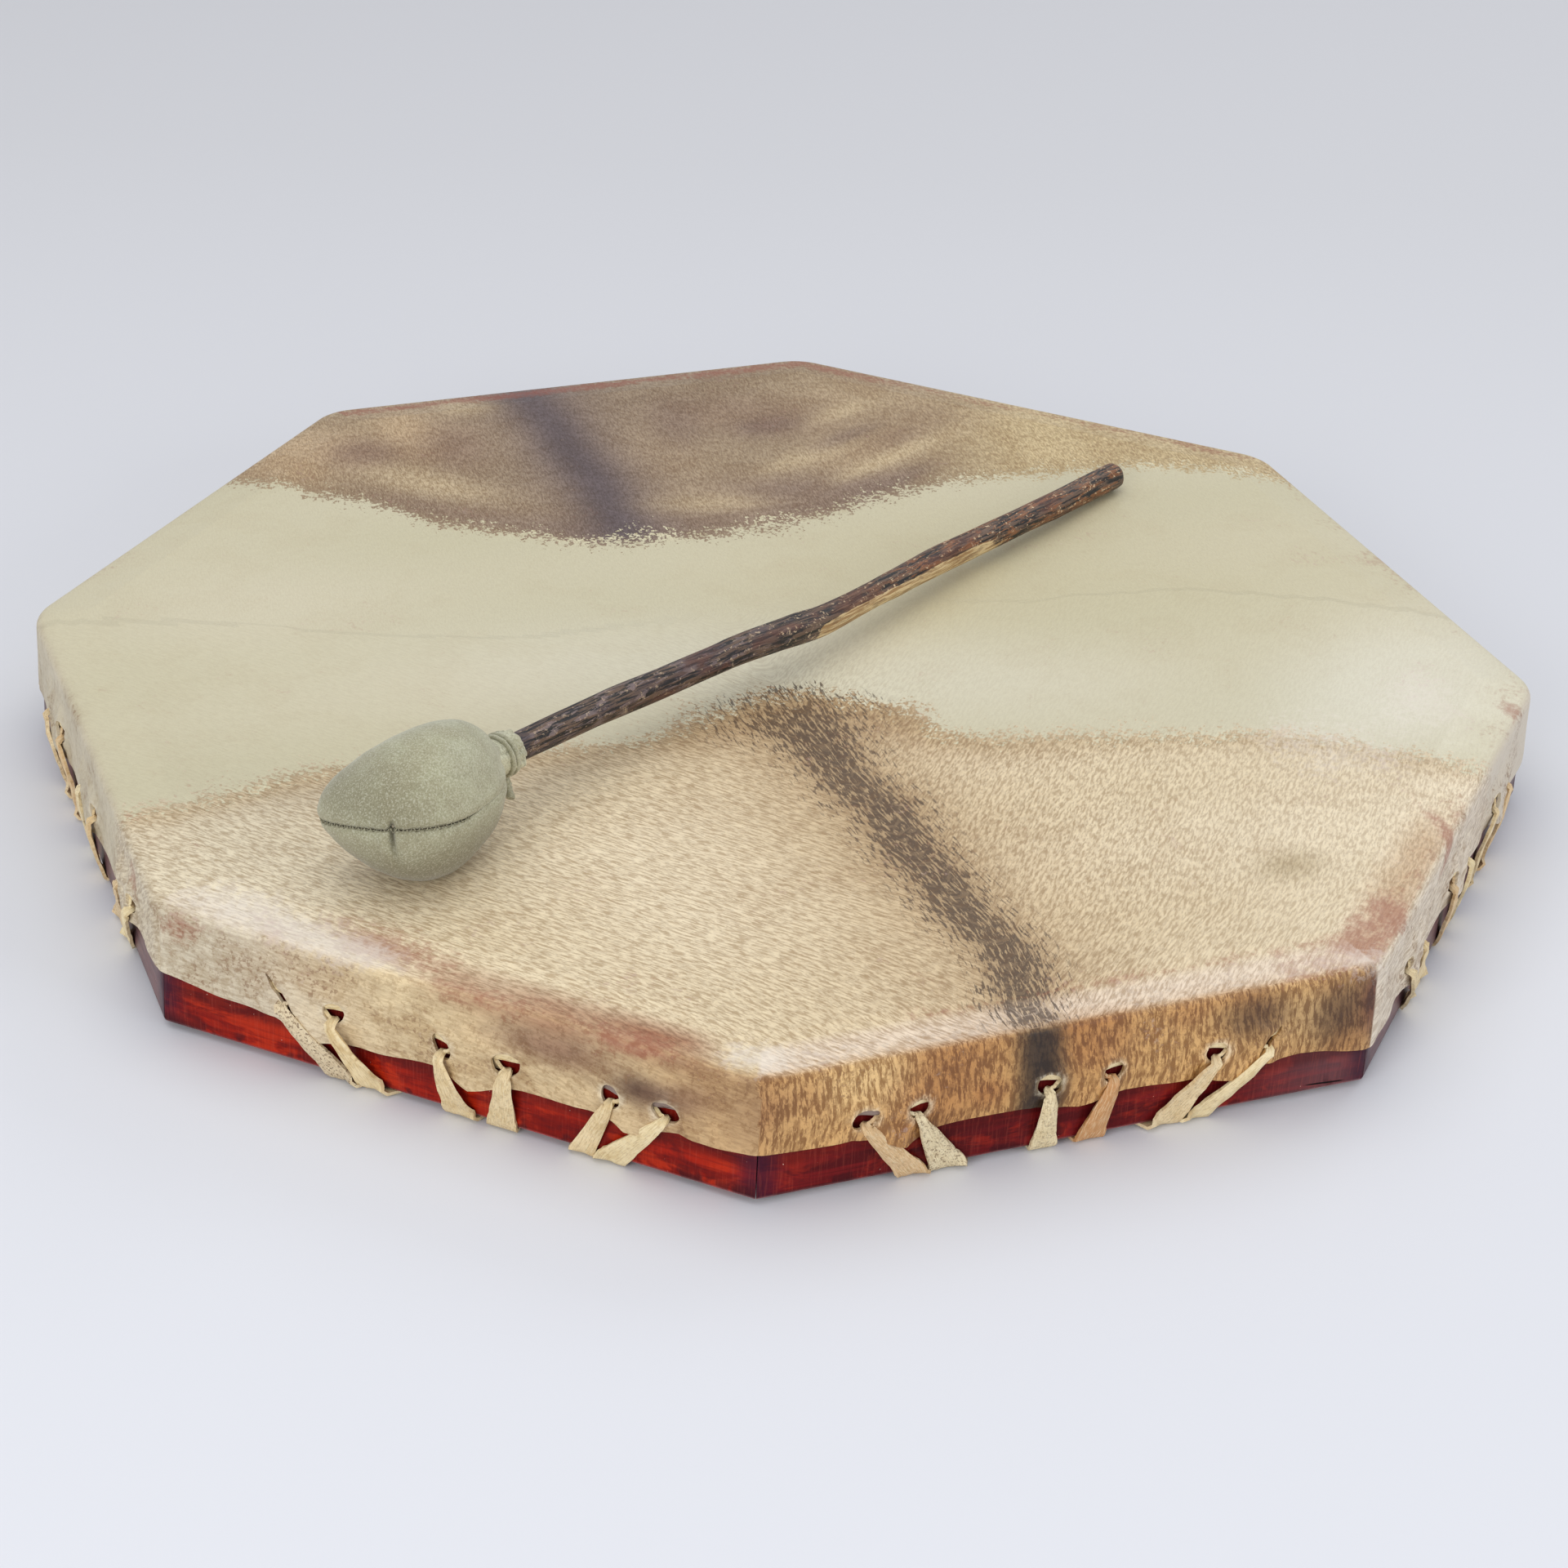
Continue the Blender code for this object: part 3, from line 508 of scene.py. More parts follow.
def octagon_point(column, apothem, radius):
    """Points of a round-cornered octagon by column, with each one's side and place along it."""
    k, j = column // PER_SIDE, column % PER_SIDE
    straight = (apothem - radius) * math.tan(HALF_TURN)
    middle = (apothem - radius) / math.cos(HALF_TURN)
    low, high = j < ARC, j > PER_SIDE - ARC
    toward = corner_angle(k + high)
    turn = toward + np.where(low, j / ARC, (j - PER_SIDE) / ARC) * HALF_TURN
    along = -straight + 2 * straight * (j - ARC) / (PER_SIDE - 2 * ARC)
    angle = corner_angle(k) + HALF_TURN
    x = np.where(low | high, middle * np.cos(toward) + radius * np.cos(turn),
                 apothem * np.cos(angle) - along * np.sin(angle))
    y = np.where(low | high, middle * np.sin(toward) + radius * np.sin(turn),
                 apothem * np.sin(angle) + along * np.cos(angle))
    return x, y, k, -x * np.sin(angle) + y * np.cos(angle)


def head_surface(piece, column, row):
    """Lays the stacked loops over the drum: the flat top, the rim and the sides down to the hem."""
    rim = rim_rows()
    points = np.zeros((len(column), 3))
    first_side = TOP_ROWS + len(rim)
    wall = APOTHEM + GAP + SKIN
    for r in range(first_side + SIDE_ROWS):
        here = row == r
        columns = column[here]
        if r < TOP_ROWS:
            share = ((r + 0.5) / TOP_ROWS) ** 0.8
            apothem = (APOTHEM + rim[0][0]) * share
            x, y, _, _ = octagon_point(columns, apothem, rim[0][2] * share + 0.35 * apothem * (1 - share))
            z = np.full_like(x, SKIN_TOP)
        elif r < first_side:
            out, height, radius = rim[r - TOP_ROWS]
            x, y, _, _ = octagon_point(columns, APOTHEM + out, radius)
            z = np.full_like(x, height)
        else:
            start = rim[-1][1]
            _, _, k, along = octagon_point(columns, wall, CORNER_AT_FOOT + SKIN)
            low = np.choose(k, [hem(side, along) for side in range(8)])
            z = start + (low - start) * (r - first_side + 1) / SIDE_ROWS
            share = np.clip((z - WOOD_BOTTOM - FOOT_RADIUS) / CORNER_RISE, 0, 1)
            x, y, _, along = octagon_point(columns, wall, CORNER_AT_FOOT + CORNER_GROWTH * share + SKIN + GAP)
            lift = np.choose(k, [stretch_over_laces(side, along, z) for side in range(8)])
            angle = corner_angle(k) + HALF_TURN
            x, y = x + lift * np.cos(angle), y + lift * np.sin(angle)
        points[here] = np.stack([x, y, z], 1)
    set_points(piece, points)


# Colour zones of the hide, laid flat, in millimetres

BACK_PATCH = ((-245, 128), (-206, 116), (-163, 102), (-134, 87), (-103, 79.5), (-77, 75), (-53, 81),
              (-28, 90), (-3, 102), (16, 115), (36, 133), (59, 147), (92, 159), (139, 172), (173, 172),
              (230, 165), (250, 400), (-330, 400))
FRONT_PATCH = ((-330, -160), (-198, -136), (-184, -127), (-170, -117), (-152, -107), (-110, -98), (-71, -85),
               (-55, -77.5), (-38, -70), (-27, -54), (-8, -43), (12, -37), (30, -39), (47, -49), (58, -60),
               (75, -64), (98, -59), (127, -55), (156, -50), (197, -52), (213, -59), (300, -70), (330, -400),
               (-330, -400))
SPINE = ((3, -45), (13, -68), (28, -105), (43, -136), (52, -154), (60, -171), (67, -184), (72, -197),
         (76, -214), (79, -230), (85, -243), (94, -260), (100, -280), (105, -300))
BACK_STRIPE = ((-122, 245), (-113, 212), (-100, 185), (-92, 162), (-78, 131), (-64, 85))
SPINE_WAY = np.array([0.352, -0.936])
HAIR_LEAN = math.radians(-40)


def inside_distance(points, outline):
    """Distance in from a closed outline, negative outside it."""
    corners = np.asarray(outline, float)
    best = np.full(len(points), 1e9)
    inside = np.zeros(len(points), bool)
    for a, b in zip(corners, np.roll(corners, -1, axis=0)):
        edge = b - a
        t = np.clip(((points - a) @ edge) / (edge @ edge), 0, 1)
        best = np.minimum(best, np.linalg.norm(points - a - t[:, None] * edge, axis=1))
        crosses = (a[1] > points[:, 1]) != (b[1] > points[:, 1])
        if a[1] != b[1]:
            at = a[0] + (points[:, 1] - a[1]) * (b[0] - a[0]) / (b[1] - a[1])
            inside ^= crosses & (points[:, 0] < at)
    return np.where(inside, best, -best)


def along_line(points, line):
    """Distance to the right of an open line, and distance along it."""
    line = np.asarray(line, float)
    best = np.full(len(points), 1e9)
    right, far = np.zeros(len(points)), np.zeros(len(points))
    run = 0.0
    for a, b in zip(line, line[1:]):
        edge = b - a
        length = np.linalg.norm(edge)
        t = np.clip(((points - a) @ edge) / length ** 2, 0, 1)
        off = points - a - t[:, None] * edge
        distance = np.linalg.norm(off, axis=1)
        here = distance < best
        hand = np.sign(edge[1] * off[:, 0] - edge[0] * off[:, 1])
        best = np.where(here, distance, best)
        right = np.where(here, distance * hand, right)
        far = np.where(here, run + t * length, far)
        run += length
    return right, far


def laid_flat(points):
    """Where each point of the head lies when its sides are folded up flat, in millimetres, and its side."""
    k = side_of(points)
    middle = corner_angle(0) + (2 * k + 1) * HALF_TURN
    ways = np.stack([np.cos(middle), np.sin(middle)], 1)
    out = points[:, 0] * ways[:, 0] + points[:, 1] * ways[:, 1]
    drop = np.where(out > APOTHEM - 0.004, np.maximum(0, SKIN_TOP - 0.002 - points[:, 2]), 0)
    return (points[:, :2] + ways * drop[:, None]) * 1000, k


def painted(colour, *coats):
    """Colours turned towards tints, given as they look on a screen, each by its own amount."""
    for tint, amount in coats:
        colour = colour + (np.array(shade(*tint)) - colour) * np.clip(amount, 0, 1)[:, None]
    return colour


class HideMap:
    """Where each point of the head lies on the flat hide: its side, its patch and its place by the spine."""

    def __init__(self, points):
        self.points = points
        self.flat, self.k = laid_flat(points)
        self.x, self.y = self.flat.T
        self.uneven, self.fine = ripple(points, 0.11, 5), ripple(points, 0.035, 6)
        self.right, self.far = along_line(self.flat, SPINE)
        self.back, self.front = (inside_distance(self.flat, patch) for patch in (BACK_PATCH, FRONT_PATCH))
        self.side = smooth(SKIN_TOP - points[:, 2], 0.0018, 0.0042)
        self.faces = [self.side * (self.k == n) for n in range(8)]
        self.out = np.max([self.flat @ side_axes(n)[0][:2] for n in range(8)], axis=0)
        width = 19 - 3 * smooth(self.far, 60, 180) + 22 * bell(self.far, 24)
        wander = 1.6 * np.sin(self.far / 17) + 1.2 * np.sin(self.far / 7.3)
        self.near_spine = bell(self.right, 58, 1.7)
        self.stripe = bell(self.right - wander, width, 1.8)
        self.core = bell(self.right - wander, 0.50 * width, 2.4)

    def plain(self, *tint):
        return np.tile(shade(*tint), (len(self.points), 1))

    def spot(self, strength, centre, across, along=None, turn=0.0):
        """A soft round or oval spot, fading out past its radii."""
        u, v = turned(self.x - centre[0], self.y - centre[1], -math.radians(turn))
        u, v = u / across, v / (along or across)
        return strength * np.exp(-(u * u + v * v) ** 1.3)

    def spots(self, *rows):
        return sum(self.spot(*row) for row in rows)


def cream_hair(hide):
    return painted(
        hide.plain(210, 202, 174),
        ((200, 193, 161), 0.5 + 0.4 * hide.uneven),
        ((198, 188, 150), hide.spots((0.55, (60, 60), 110, 60, 40), (0.3, (190, 60), 70))),
        # The first pale spot, at the right edge, is painted glare from the lamps
        ((226, 222, 204), hide.spots((0.7, (225, -10), 60, 40, 50), (0.4, (0, -20), 120, 40))))


def back_hair(hide):
    x, back = hide.x, hide.back
    across_core, _ = along_line(hide.flat, BACK_STRIPE)
    inside = smooth(back, -6, 6)
    return painted(
        hide.plain(150, 130, 104),
        ((172, 150, 118), 0.5 + 0.6 * hide.uneven),
        ((190, 164, 128), hide.spots((0.8, (-200, 145), 22, 30), (0.8, (-158, 168), 13, 24, 20),
                                     (0.35, (-57, 157), 22, 22), (0.4, (26, 170), 26, 16, 30))),
        ((136, 108, 88), hide.spots((0.85, (-173, 146), 17, 17), (0.7, (-138, 158), 16, 26, 10),
                                    (0.55, (-20, 205), 44, 22), (0.5, (70, 216), 24, 14, 10),
                                    (0.4, (44, 190), 20, 9, 40))),
        ((140, 118, 100), 0.8 * bell(back - 9, 13) * (1 - smooth(x, 20, 70)) * smooth(x, -190, -140)
         + hide.spots((0.5, (10, 130), 34, 14, 24), (0.6, (-13, 136), 26, 14, 20))),
        ((122, 102, 92), 0.9 * bell(across_core, 30) * inside),
        ((84, 70, 74), 0.90 * bell(across_core, 13) * inside),
        ((200, 180, 136), 0.85 * smooth(x, 40, 105)),
        ((196, 176, 140), hide.spots((0.7, (-147, 122), 28, 12, -20), (0.6, (-140, 200), 14, 10),
                                     (0.6, (19, 213), 20, 6, 45), (0.7, (6, 167), 28, 6, 45),
                                     (0.7, (33, 162), 26, 5, 50), (0.5, (-29, 117), 26, 8, 10),
                                     (0.6, (56, 186), 26, 6, 50))),
        ((122, 98, 86), hide.spots((0.7, (-12, 194), 16, 9, 30), (0.6, (20, 186), 22, 5, 48),
                                   (0.5, (44, 150), 22, 5, 50), (0.5, (-50, 190), 12, 26, 10))))


def front_hair(hide):
    far, front = hide.far, hide.front
    return painted(
        hide.plain(216, 199, 166),
        ((224, 209, 180), 0.5 + 0.6 * hide.uneven),
        ((192, 166, 126), 0.7 * hide.near_spine * smooth(far, -10, 10)),
        ((186, 168, 138), hide.spots((0.7, (-160, -122), 50, 18, 16), (0.5, (-120, -105), 60, 16, 18))),
        ((210, 200, 176), hide.spot(0.6, (-175, -165), 60, 50)),
        ((170, 150, 112), hide.spot(0.7, (170, -140), 13, 8, 30)),
        ((172, 142, 102), 0.80 * hide.stripe * smooth(far, -22, 6)),
        ((140, 112, 80), 0.60 * hide.core * smooth(far, -8, 20)),
        ((170, 138, 98), bell(front - 7, 13) * hide.spot(0.85, (6, -44), 80, 44)),
        ((190, 166, 126), 0.55 * bell(front - 5, 7)))


def dye_the_sides(colour, hide):
    """The sides' own colours, the paler band round the rim and a painted highlight on the near left rim, over
    a colour of the top.
    """
    x, out, k, fine, faces = hide.x, hide.out, hide.k, hide.fine, hide.faces
    near, left = faces[0], faces[7]
    worn = smooth(x, -116, -90) * (1 - smooth(x, -24, -8)) * (k == 7)
    dark = bell(hide.right + 0.5, 8.5, 4) * smooth(hide.far, 206, 214)
    colour = painted(
        colour,
        ((224, 206, 190), 0.62 * smooth(out, 239, 244) * (1 - smooth(out, 253, 256)) * (k == 0)),
        # A painted highlight along the left end of the near left rim
        ((210, 196, 180), 0.45 * smooth(out, 238, 248) * (k == 7) * smooth(-x, 100, 130)),
        ((158, 112, 80), np.clip(0.86 + 0.3 * fine, 0, 1) * smooth(out, 238, 247) * worn),
        ((178, 138, 92), 0.6 * smooth(out, 232, 247) * (1 - smooth(out, 252, 254)) * (k == 1)
         * smooth(-hide.y, 85, 120)),
        # The near right side
        ((186, 144, 88), 0.95 * near),
        ((152, 100, 50), near * 0.75 * (hide.spots((1, (60, -264), 20, 34), (1, (104, -240), 16, 16),
                                                   (0.5, (2, -282), 10, 24)) + 0.7 * smooth(fine, 0.1, 1.1))),
        ((214, 184, 132), near * 0.6 * hide.spots((1, (34, -268), 14, 14), (0.6, (176, -217), 10, 10))),
        ((36, 22, 12), near * 0.96 * dark),
        ((74, 46, 22), near * hide.spots((0.8, (158, -222), 14, 9, 20), (0.85, (188, -214), 12, 14))),
        ((84, 34, 18), near * hide.spot(0.9, (198, -206), 6, 18, 24)),
        # The near left side
        ((210, 188, 146), 0.85 * left * smooth(x, -180, -120)),
        ((200, 190, 166), 0.8 * left * smooth(-x, 130, 190)),
        ((188, 150, 102), 0.75 * left * smooth(x, -60, -15)),
        ((154, 112, 80), np.clip(0.72 + 0.3 * fine, 0, 1) * worn * left * (1 - smooth(out, 256, 263))),
        ((132, 92, 70), left * hide.spots((0.8, (-68, -258), 22, 7, -22), (0.6, (-30, -280), 12, 6))),
        ((92, 62, 42), left * hide.spot(0.95, (-42, -276), 11, 6, -22)),
        ((150, 112, 74), hide.spot(0.6, (0, -288), 18, 16) * (left + near)),
        # The other sides
        ((208, 196, 180), 0.80 * faces[1]),
        ((190, 178, 154), 0.75 * faces[6]),
        ((200, 188, 160), 0.5 * (faces[5] + faces[4] + faces[3] + faces[2])))
    # The cut edges of the holes are pale
    for side in range(8):
        along = hide.points @ side_axes(side)[1]
        for number, hole in enumerate(holes_of(side)):
            if (side, number) not in SLITS:
                away = np.hypot(along - hole, hide.points[:, 2] - HOLE_Z - 0.0004) / 0.0040
                pale = 0.50 * (k == side) * (1 - smooth(away, 0.9, 1.30))
                colour = painted(colour, ((226, 216, 192), pale))
    return colour


def dye_amount(hide):
    """Where the boards' red stain has bled into the hide."""
    k, out = hide.k, hide.out
    return (bell(out - 254, 8) * hide.spots((0.46, (-62, -244), 46, 30, -22), (0.5, (-84, -234), 22, 12),
                                            (0.7, (-38, -258), 14, 8))
            + bell(out - 246.5, 5.5) * ((k == 4) + (k == 3) * 0.7)
            + 0.50 * bell(out - 239, 2.6) * (k == 0) * smooth(hide.x, 10, 60)
            + 0.30 * bell(out - 250, 7) * ((k == 1) + (k == 2))
            + hide.spots((0.5, (-120, -212), 34, 10, -22), (0.9, (-36, -259), 6, 4.5),
                         (1.5, (192, -176), 17, 8, 62),
                         (0.5, (200, -164), 8, 14, 20), (0.6, (-112, -219), 22, 7, -22),
                         (0.6, (-157, -204), 3.5, 16, 20), (0.4, (168, -199), 16, 8, 22),
                         (0.8, (263, -20), 6, 5),
                         (0.8, (-214, -142), 7, 5), (0.8, (-216, -167), 8, 6), (0.56, (-189, -204), 12, 7),
                         (0.8, (224, -104), 3, 14, 30), (0.8, (229, -118), 3, 12, 10)))


def bloom_amount(hide):
    """Painted highlights: where the lamps' glare shows on the hide, painted in as paler colour."""
    return hide.spots((0.9, (-166, -196), 26, 12, -22), (0.9, (-130, -216), 26, 8, -22),
                      (0.8, (-2, -264), 11, 7),
                      (0.5, (196, -50), 36, 30, 40), (0.45, (232, -20), 16, 26), (0.5, (196, -192), 12, 10)) \
        + bell(hide.out - 250, 9) * 0.30 * (hide.k == 0) * (hide.out < 251.5)


def mottle_amount(hide):
    faces = hide.faces
    return 0.22 * smooth(hide.front, -6, 4) + 1.1 * smooth(hide.back, -6, 4) \
        + hide.spots((0.5, (-60, -272), 60, 12, -22), (0.9, (-58, -258), 26, 12, -22),
                     (0.7, (-30, -284), 26, 12)) \
        + 0.8 * faces[7] + 0.9 * faces[0] + 0.6 * faces[6] + 0.45 * (hide.front > 0) * hide.near_spine


def hair_amount(hide):
    front, back, faces = hide.front, hide.back, hide.faces
    amount = 0.75 * smooth(back, -4, 8) + 0.70 * smooth(front, -4, 8) + 0.3 * hide.stripe + 0.5 * faces[0]
    return np.clip(amount, 0, 1.3) * (1 - 0.72 * faces[7] - 0.4 * faces[6] - 0.5 * faces[1]) \
        * (1 - 0.35 * smooth(hide.x, 90, 170) * (1 - hide.side) * (front > back))


def map_the_hair(piece, hide):
    """Maps along the hair, which leans in to the spine from both sides and lies one way over the back."""
    spine = np.array(SPINE, float)
    across = np.array([-SPINE_WAY[1], SPINE_WAY[0]])
    run = hide.flat @ SPINE_WAY
    off = hide.flat @ across - np.interp(run, spine @ SPINE_WAY, spine @ across)
    straight = np.stack([run, off], 1) / 1000
    front = np.stack(turned(run, np.abs(off), -HAIR_LEAN), 1)
    back = np.stack([hide.x * 0.3 - hide.y, hide.x + hide.y * 0.3], 1) * 1.5
    flow = np.where((hide.back > hide.front)[:, None], back, front) / 1000
    # On the near right side it hangs straight down
    loops, starts = loops_of(piece)
    corners = np.diff(np.append(starts, len(loops)))
    hangs = np.repeat(np.minimum.reduceat(hide.faces[0][loops], starts) > 0.3, corners)
    store_map(piece, "spine_flow", straight[loops])
    store_map(piece, "hair_flow", np.where(hangs[:, None], straight[loops], flow[loops]))


def colour_the_hide(piece):
    """Stores the hide's own colours, its hair's direction and how much hair shows, at each point."""
    hide = HideMap(points_of(piece))
    front, back = hide.front, hide.back
    patch = np.where((back > front)[:, None], back_hair(hide), front_hair(hide))
    for name, colour in (("hide_colour", cream_hair(hide)), ("patch_colour", patch)):
        values = np.hstack([dye_the_sides(colour, hide), np.ones((len(colour), 1))])
        piece.data.attributes.new(name, "FLOAT_COLOR", "POINT").data.foreach_set("color", values.reshape(-1))
    spine_hair = (0.38 * hide.stripe + 0.62 * hide.core) * smooth(hide.far, -16, 16) \
        * (front > -6) * (1 - hide.side)
    store(piece, hair_edge=np.maximum(np.clip(back, -40, 40), np.clip(front, -40, 40)) / 1000,
          hair_amount=hair_amount(hide), dye=np.clip(dye_amount(hide), 0, 1),
          bloom=np.clip(bloom_amount(hide), 0, 1),
          mottle=np.clip(mottle_amount(hide), 0, 1.2), on_side=hide.side, spine_hair=spine_hair)
    map_the_hair(piece, hide)


def hide_finish():
    finish = Finish("hide", IOR=1.5, Coat_Roughness=0.28)
    place, flow = finish.place(), finish.map("hair_flow")
    edge, amount, mottle, dye, bloom, on_side, spine_hair = (finish.attribute(name) for name in (
        "hair_edge", "hair_amount", "mottle", "dye", "bloom", "on_side", "spine_hair"))

    strokes = finish.streaks(flow, (240, 1080, 1), 3.0, 0.62, 0.2)
    tufts = finish.streaks(flow, (150, 420, 1), 4.0, 0.7, 0.3)
    long_hair = finish.streaks(flow, (150, 640, 1), 4.0, 0.65, 0.25)
    lines = finish.streaks(finish.map("spine_flow"), (170, 900, 1), 3.0, 0.65, 0.25)
    pores = finish.noise(place, 1100, 2.0, 0.6)
    grain = finish.noise(place, 420, 4.0, 0.7)
    cloud = finish.noise(place, 36, 5.0, 0.62, 0.3)
    specks = finish.noise(place, 620, 2.0, 0.6)

    # A coloured patch ends in short hairs that thin out
    ragged = edge + (specks - 0.5) * 0.050 + (tufts - 0.5) * 0.022 + (cloud - 0.5) * 0.030
    covered = ragged.step(-0.0018, 0.0018)
    fringe = covered * (1 - ragged.step(0.002, 0.014))
    tone = finish.mix(covered, finish.attribute("hide_colour", 0), finish.attribute("patch_colour", 0))
    dark = finish.mix(1.0, tone, (0.56, 0.44, 0.30), "MULTIPLY")
    pale = finish.mix(1.0, tone, (1.37, 1.38, 1.36), "MULTIPLY")
    loose = amount * (1 - spine_hair * 0.8)
    tufted = amount * (mottle * 0.30 + 0.05)
    red = (dye * 1.6 + (grain - 0.5) * 2.4 + (cloud - 0.5) * 3.0 + (tufts - 0.5) * 1.6 - 0.55).clamped()
    # Painted glare from the lamps, broken up by the hide's grain
    bloom = (bloom * 1.5 + (grain - 0.5) * 2.6 + (cloud - 0.5) * 2.0 - 0.45).clamped()
    tone = finish.layers(
        tone,
        (cloud.step(0.49, 0.59) * (mottle * 0.38 + 0.05), dark),
        ((1 - cloud).step(0.50, 0.60) * mottle * 0.38, pale),
        (strokes.step(0.50, 0.57) * (loose * 0.74 + 0.05), dark),
        ((1 - strokes).step(0.49, 0.57) * (loose * 0.68 + 0.07), pale),
        (long_hair.step(0.50, 0.57) * (on_side * 0.74 + 0.26) * loose, dark),
        ((1 - long_hair).step(0.50, 0.57) * (on_side * 0.74 + 0.28) * loose, pale),
        (specks.step(0.53, 0.60) * cloud.step(0.49, 0.60) * on_side * 0.60, shade(126, 88, 54)),
        # The dark hair over the spine runs along it and thins out to both sides
        ((lines + spine_hair * 0.20).step(0.58, 0.65) * spine_hair.step(0.02, 0.2) * 0.86, shade(72, 54, 38)),
        ((1 - lines).step(0.52, 0.60) * spine_hair.step(0.1, 0.5) * 0.60, shade(190, 164, 124)),
        (tufts.step(0.50, 0.60) * tufted, dark),
        ((1 - tufts).step(0.50, 0.60) * tufted, pale),
        (grain.step(0.52, 0.60) * mottle * 0.36, dark),
        (fringe * strokes.step(0.42, 0.55) * 0.40, dark),
        (pores.step(0.52, 0.66) * 0.08, dark),
        (red * 0.56, shade(150, 76, 54)),
        # Painted highlights: the lamps' glare painted onto the hide as pale colour
        (bloom * 0.55, shade(236, 228, 216)))
    height = strokes * 0.7 + grain * 0.6 + pores * 0.3 + covered * 0.25
    rough = 0.44 + (grain - 0.5) * 0.5 + (cloud - 0.5) * 0.4 + on_side * 0.06
    return finish.wear(tone, (height, 0.00022, 0.6), Roughness=rough.clamped())


HOLE_SHAPES = {     # half width, half height and tilt of the holes that the photo shows well
    (7, 1): (0.0035, 0.0037, 0), (7, 2): (0.0030, 0.0046, 32), (7, 3): (0.0046, 0.0042, 0),
    (7, 4): (0.0033, 0.0042, 10), (7, 5): (0.0047, 0.0031, -30), (0, 0): (0.0047, 0.0030, 28),
    (0, 1): (0.0036, 0.0033, -25), (0, 2): (0.0039, 0.0040, 5), (0, 3): (0.0038, 0.0037, -15),
    (0, 4): (0.0035, 0.0038, 0),
}
SLITS = {(7, 0): (0.0013, 0.0092, 42), (0, 5): (0.0011, 0.0060, -42)}


def hole_shape(k, hole):
    plain = (0.0038 + 0.0006 * math.sin(5 * k + 2 * hole), 0.0036 + 0.0005 * math.cos(3 * k + hole),
             18 * math.sin(k + 4 * hole))
    return {**HOLE_SHAPES, **SLITS}.get((k, hole), plain)


def hole_plugs():
    """The lacing holes as solids, each an oval leaning its own way, and the two that have torn into slits."""
    plugs = []
    for k in range(8):
        outward, sideways = side_axes(k)
        for hole, along in enumerate(holes_of(k)):
            wide, high, lean = hole_shape(k, hole)
            plug = add(bpy.ops.mesh.primitive_cylinder_add, "hole_plug", vertices=28, radius=1.0,
                       depth=0.0075)
            u, v, w = points_of(plug).T
            bend = 1 + 0.10 * v * (1 if hole % 2 else -1)
            x, z = turned(u * wide * bend, v * high, math.radians(lean))
            centre = on_side(k, along, 0.0026, HOLE_Z + 0.0004)
            set_points(plug, centre + np.outer(x, sideways) + np.outer(z, UP) + np.outer(w, outward))
            plugs.append(plug)
    plugs = join(*plugs)
    edit(plugs, outward_faces)
    return plugs


def refine_the_sides(head):
    """Cuts the faces below the rim in four."""
    bpy.ops.object.mode_set(mode="EDIT")
    bpy.ops.mesh.select_mode(type="FACE")
    bpy.ops.mesh.select_all(action="DESELECT")
    bpy.ops.object.mode_set(mode="OBJECT")
    for face in head.data.polygons:
        face.select = face.center.z < SKIN_TOP - 0.009
    bpy.ops.object.mode_set(mode="EDIT")
    bpy.ops.mesh.subdivide(number_cuts=1, smoothness=0.0)
    bpy.ops.object.mode_set(mode="OBJECT")


def make_head(finish):
    rows = TOP_ROWS + len(rim_rows()) + SIDE_ROWS
    head, column, row = stacked_loops("hide_over_the_frame", 8 * PER_SIDE, rows)
    head_surface(head, column, row)
    close_row(head, row, 0)
    refine_the_sides(head)
    crumple_the_sides(head)
    modify(head, "SOLIDIFY", thickness=SKIN, offset=-1.0, use_even_offset=False)
    plugs = hole_plugs()
    modify(head, "BOOLEAN", operation="DIFFERENCE", solver="EXACT", object=plugs)
    settle(head, finish, "drum", "rawhide", "rawhide_head", smooth=50)
    bpy.data.objects.remove(plugs, do_unlink=True)
    colour_the_hide(head)


PROUD_TONGUES = {(0, 0): 0.0024, (7, 1): 0.0016, (7, 2): 0.0012}


def crumple_the_sides(head):
    """Puckers round the holes, proud tongues between a pair's holes, torn places and small unevenness."""
    points = points_of(head)
    k, z = side_of(points), points[:, 2]
    push = np.zeros(len(points))
    low = smooth(0.040 - z, 0.0, 0.014)
    for side in range(8):
        here = k == side
        along = points @ side_axes(side)[1]
        for number, (left, right) in enumerate(pairs_of(side)):
            middle, half = (left + right) / 2, (right - left) / 2
            tongue = bell(along - middle, half * 0.62) * smooth(0.0265 - z, 0.0, 0.010)
            push += here * tongue * PROUD_TONGUES.get((side, number), 0.0008)
            for hole in (left, right):
                away = np.hypot(along - hole, z - HOLE_Z)
                bearing = np.arctan2(z - HOLE_Z, along - hole)
                push += here * 0.0007 * bell(away - 0.0048, 0.0016)
                push += here * 0.00035 * bell(away - 0.008, 0.004) * np.cos(bearing * 7 + hole * 900)
                push -= here * 0.0006 * bell(along - hole, 0.0022) * smooth(HOLE_Z - 0.003 - z, 0, 0.003)
        push += here * low * (0.00022 * ripple(points, 0.018, 11 + side)
                              + 0.0003 * ripple(points, 0.045, 31 + side))
        push += here * low * 0.0004 * np.sin(along * 210 + side) * smooth(0.022 - z, 0, 0.006)
    outs = np.array([side_axes(n)[0] for n in range(8)])[k]
    moved = points + outs * np.clip(push, -0.0003, 0.0045)[:, None]
    top = smooth(z, SKIN_TOP - 0.0025, SKIN_TOP)
    moved[:, 2] += np.where(z > SKIN_TOP - 0.006, -0.00012 + 0.00012 * ripple(points, 0.16, 3) * top, 0)
    set_points(head, moved)


# The stained boards

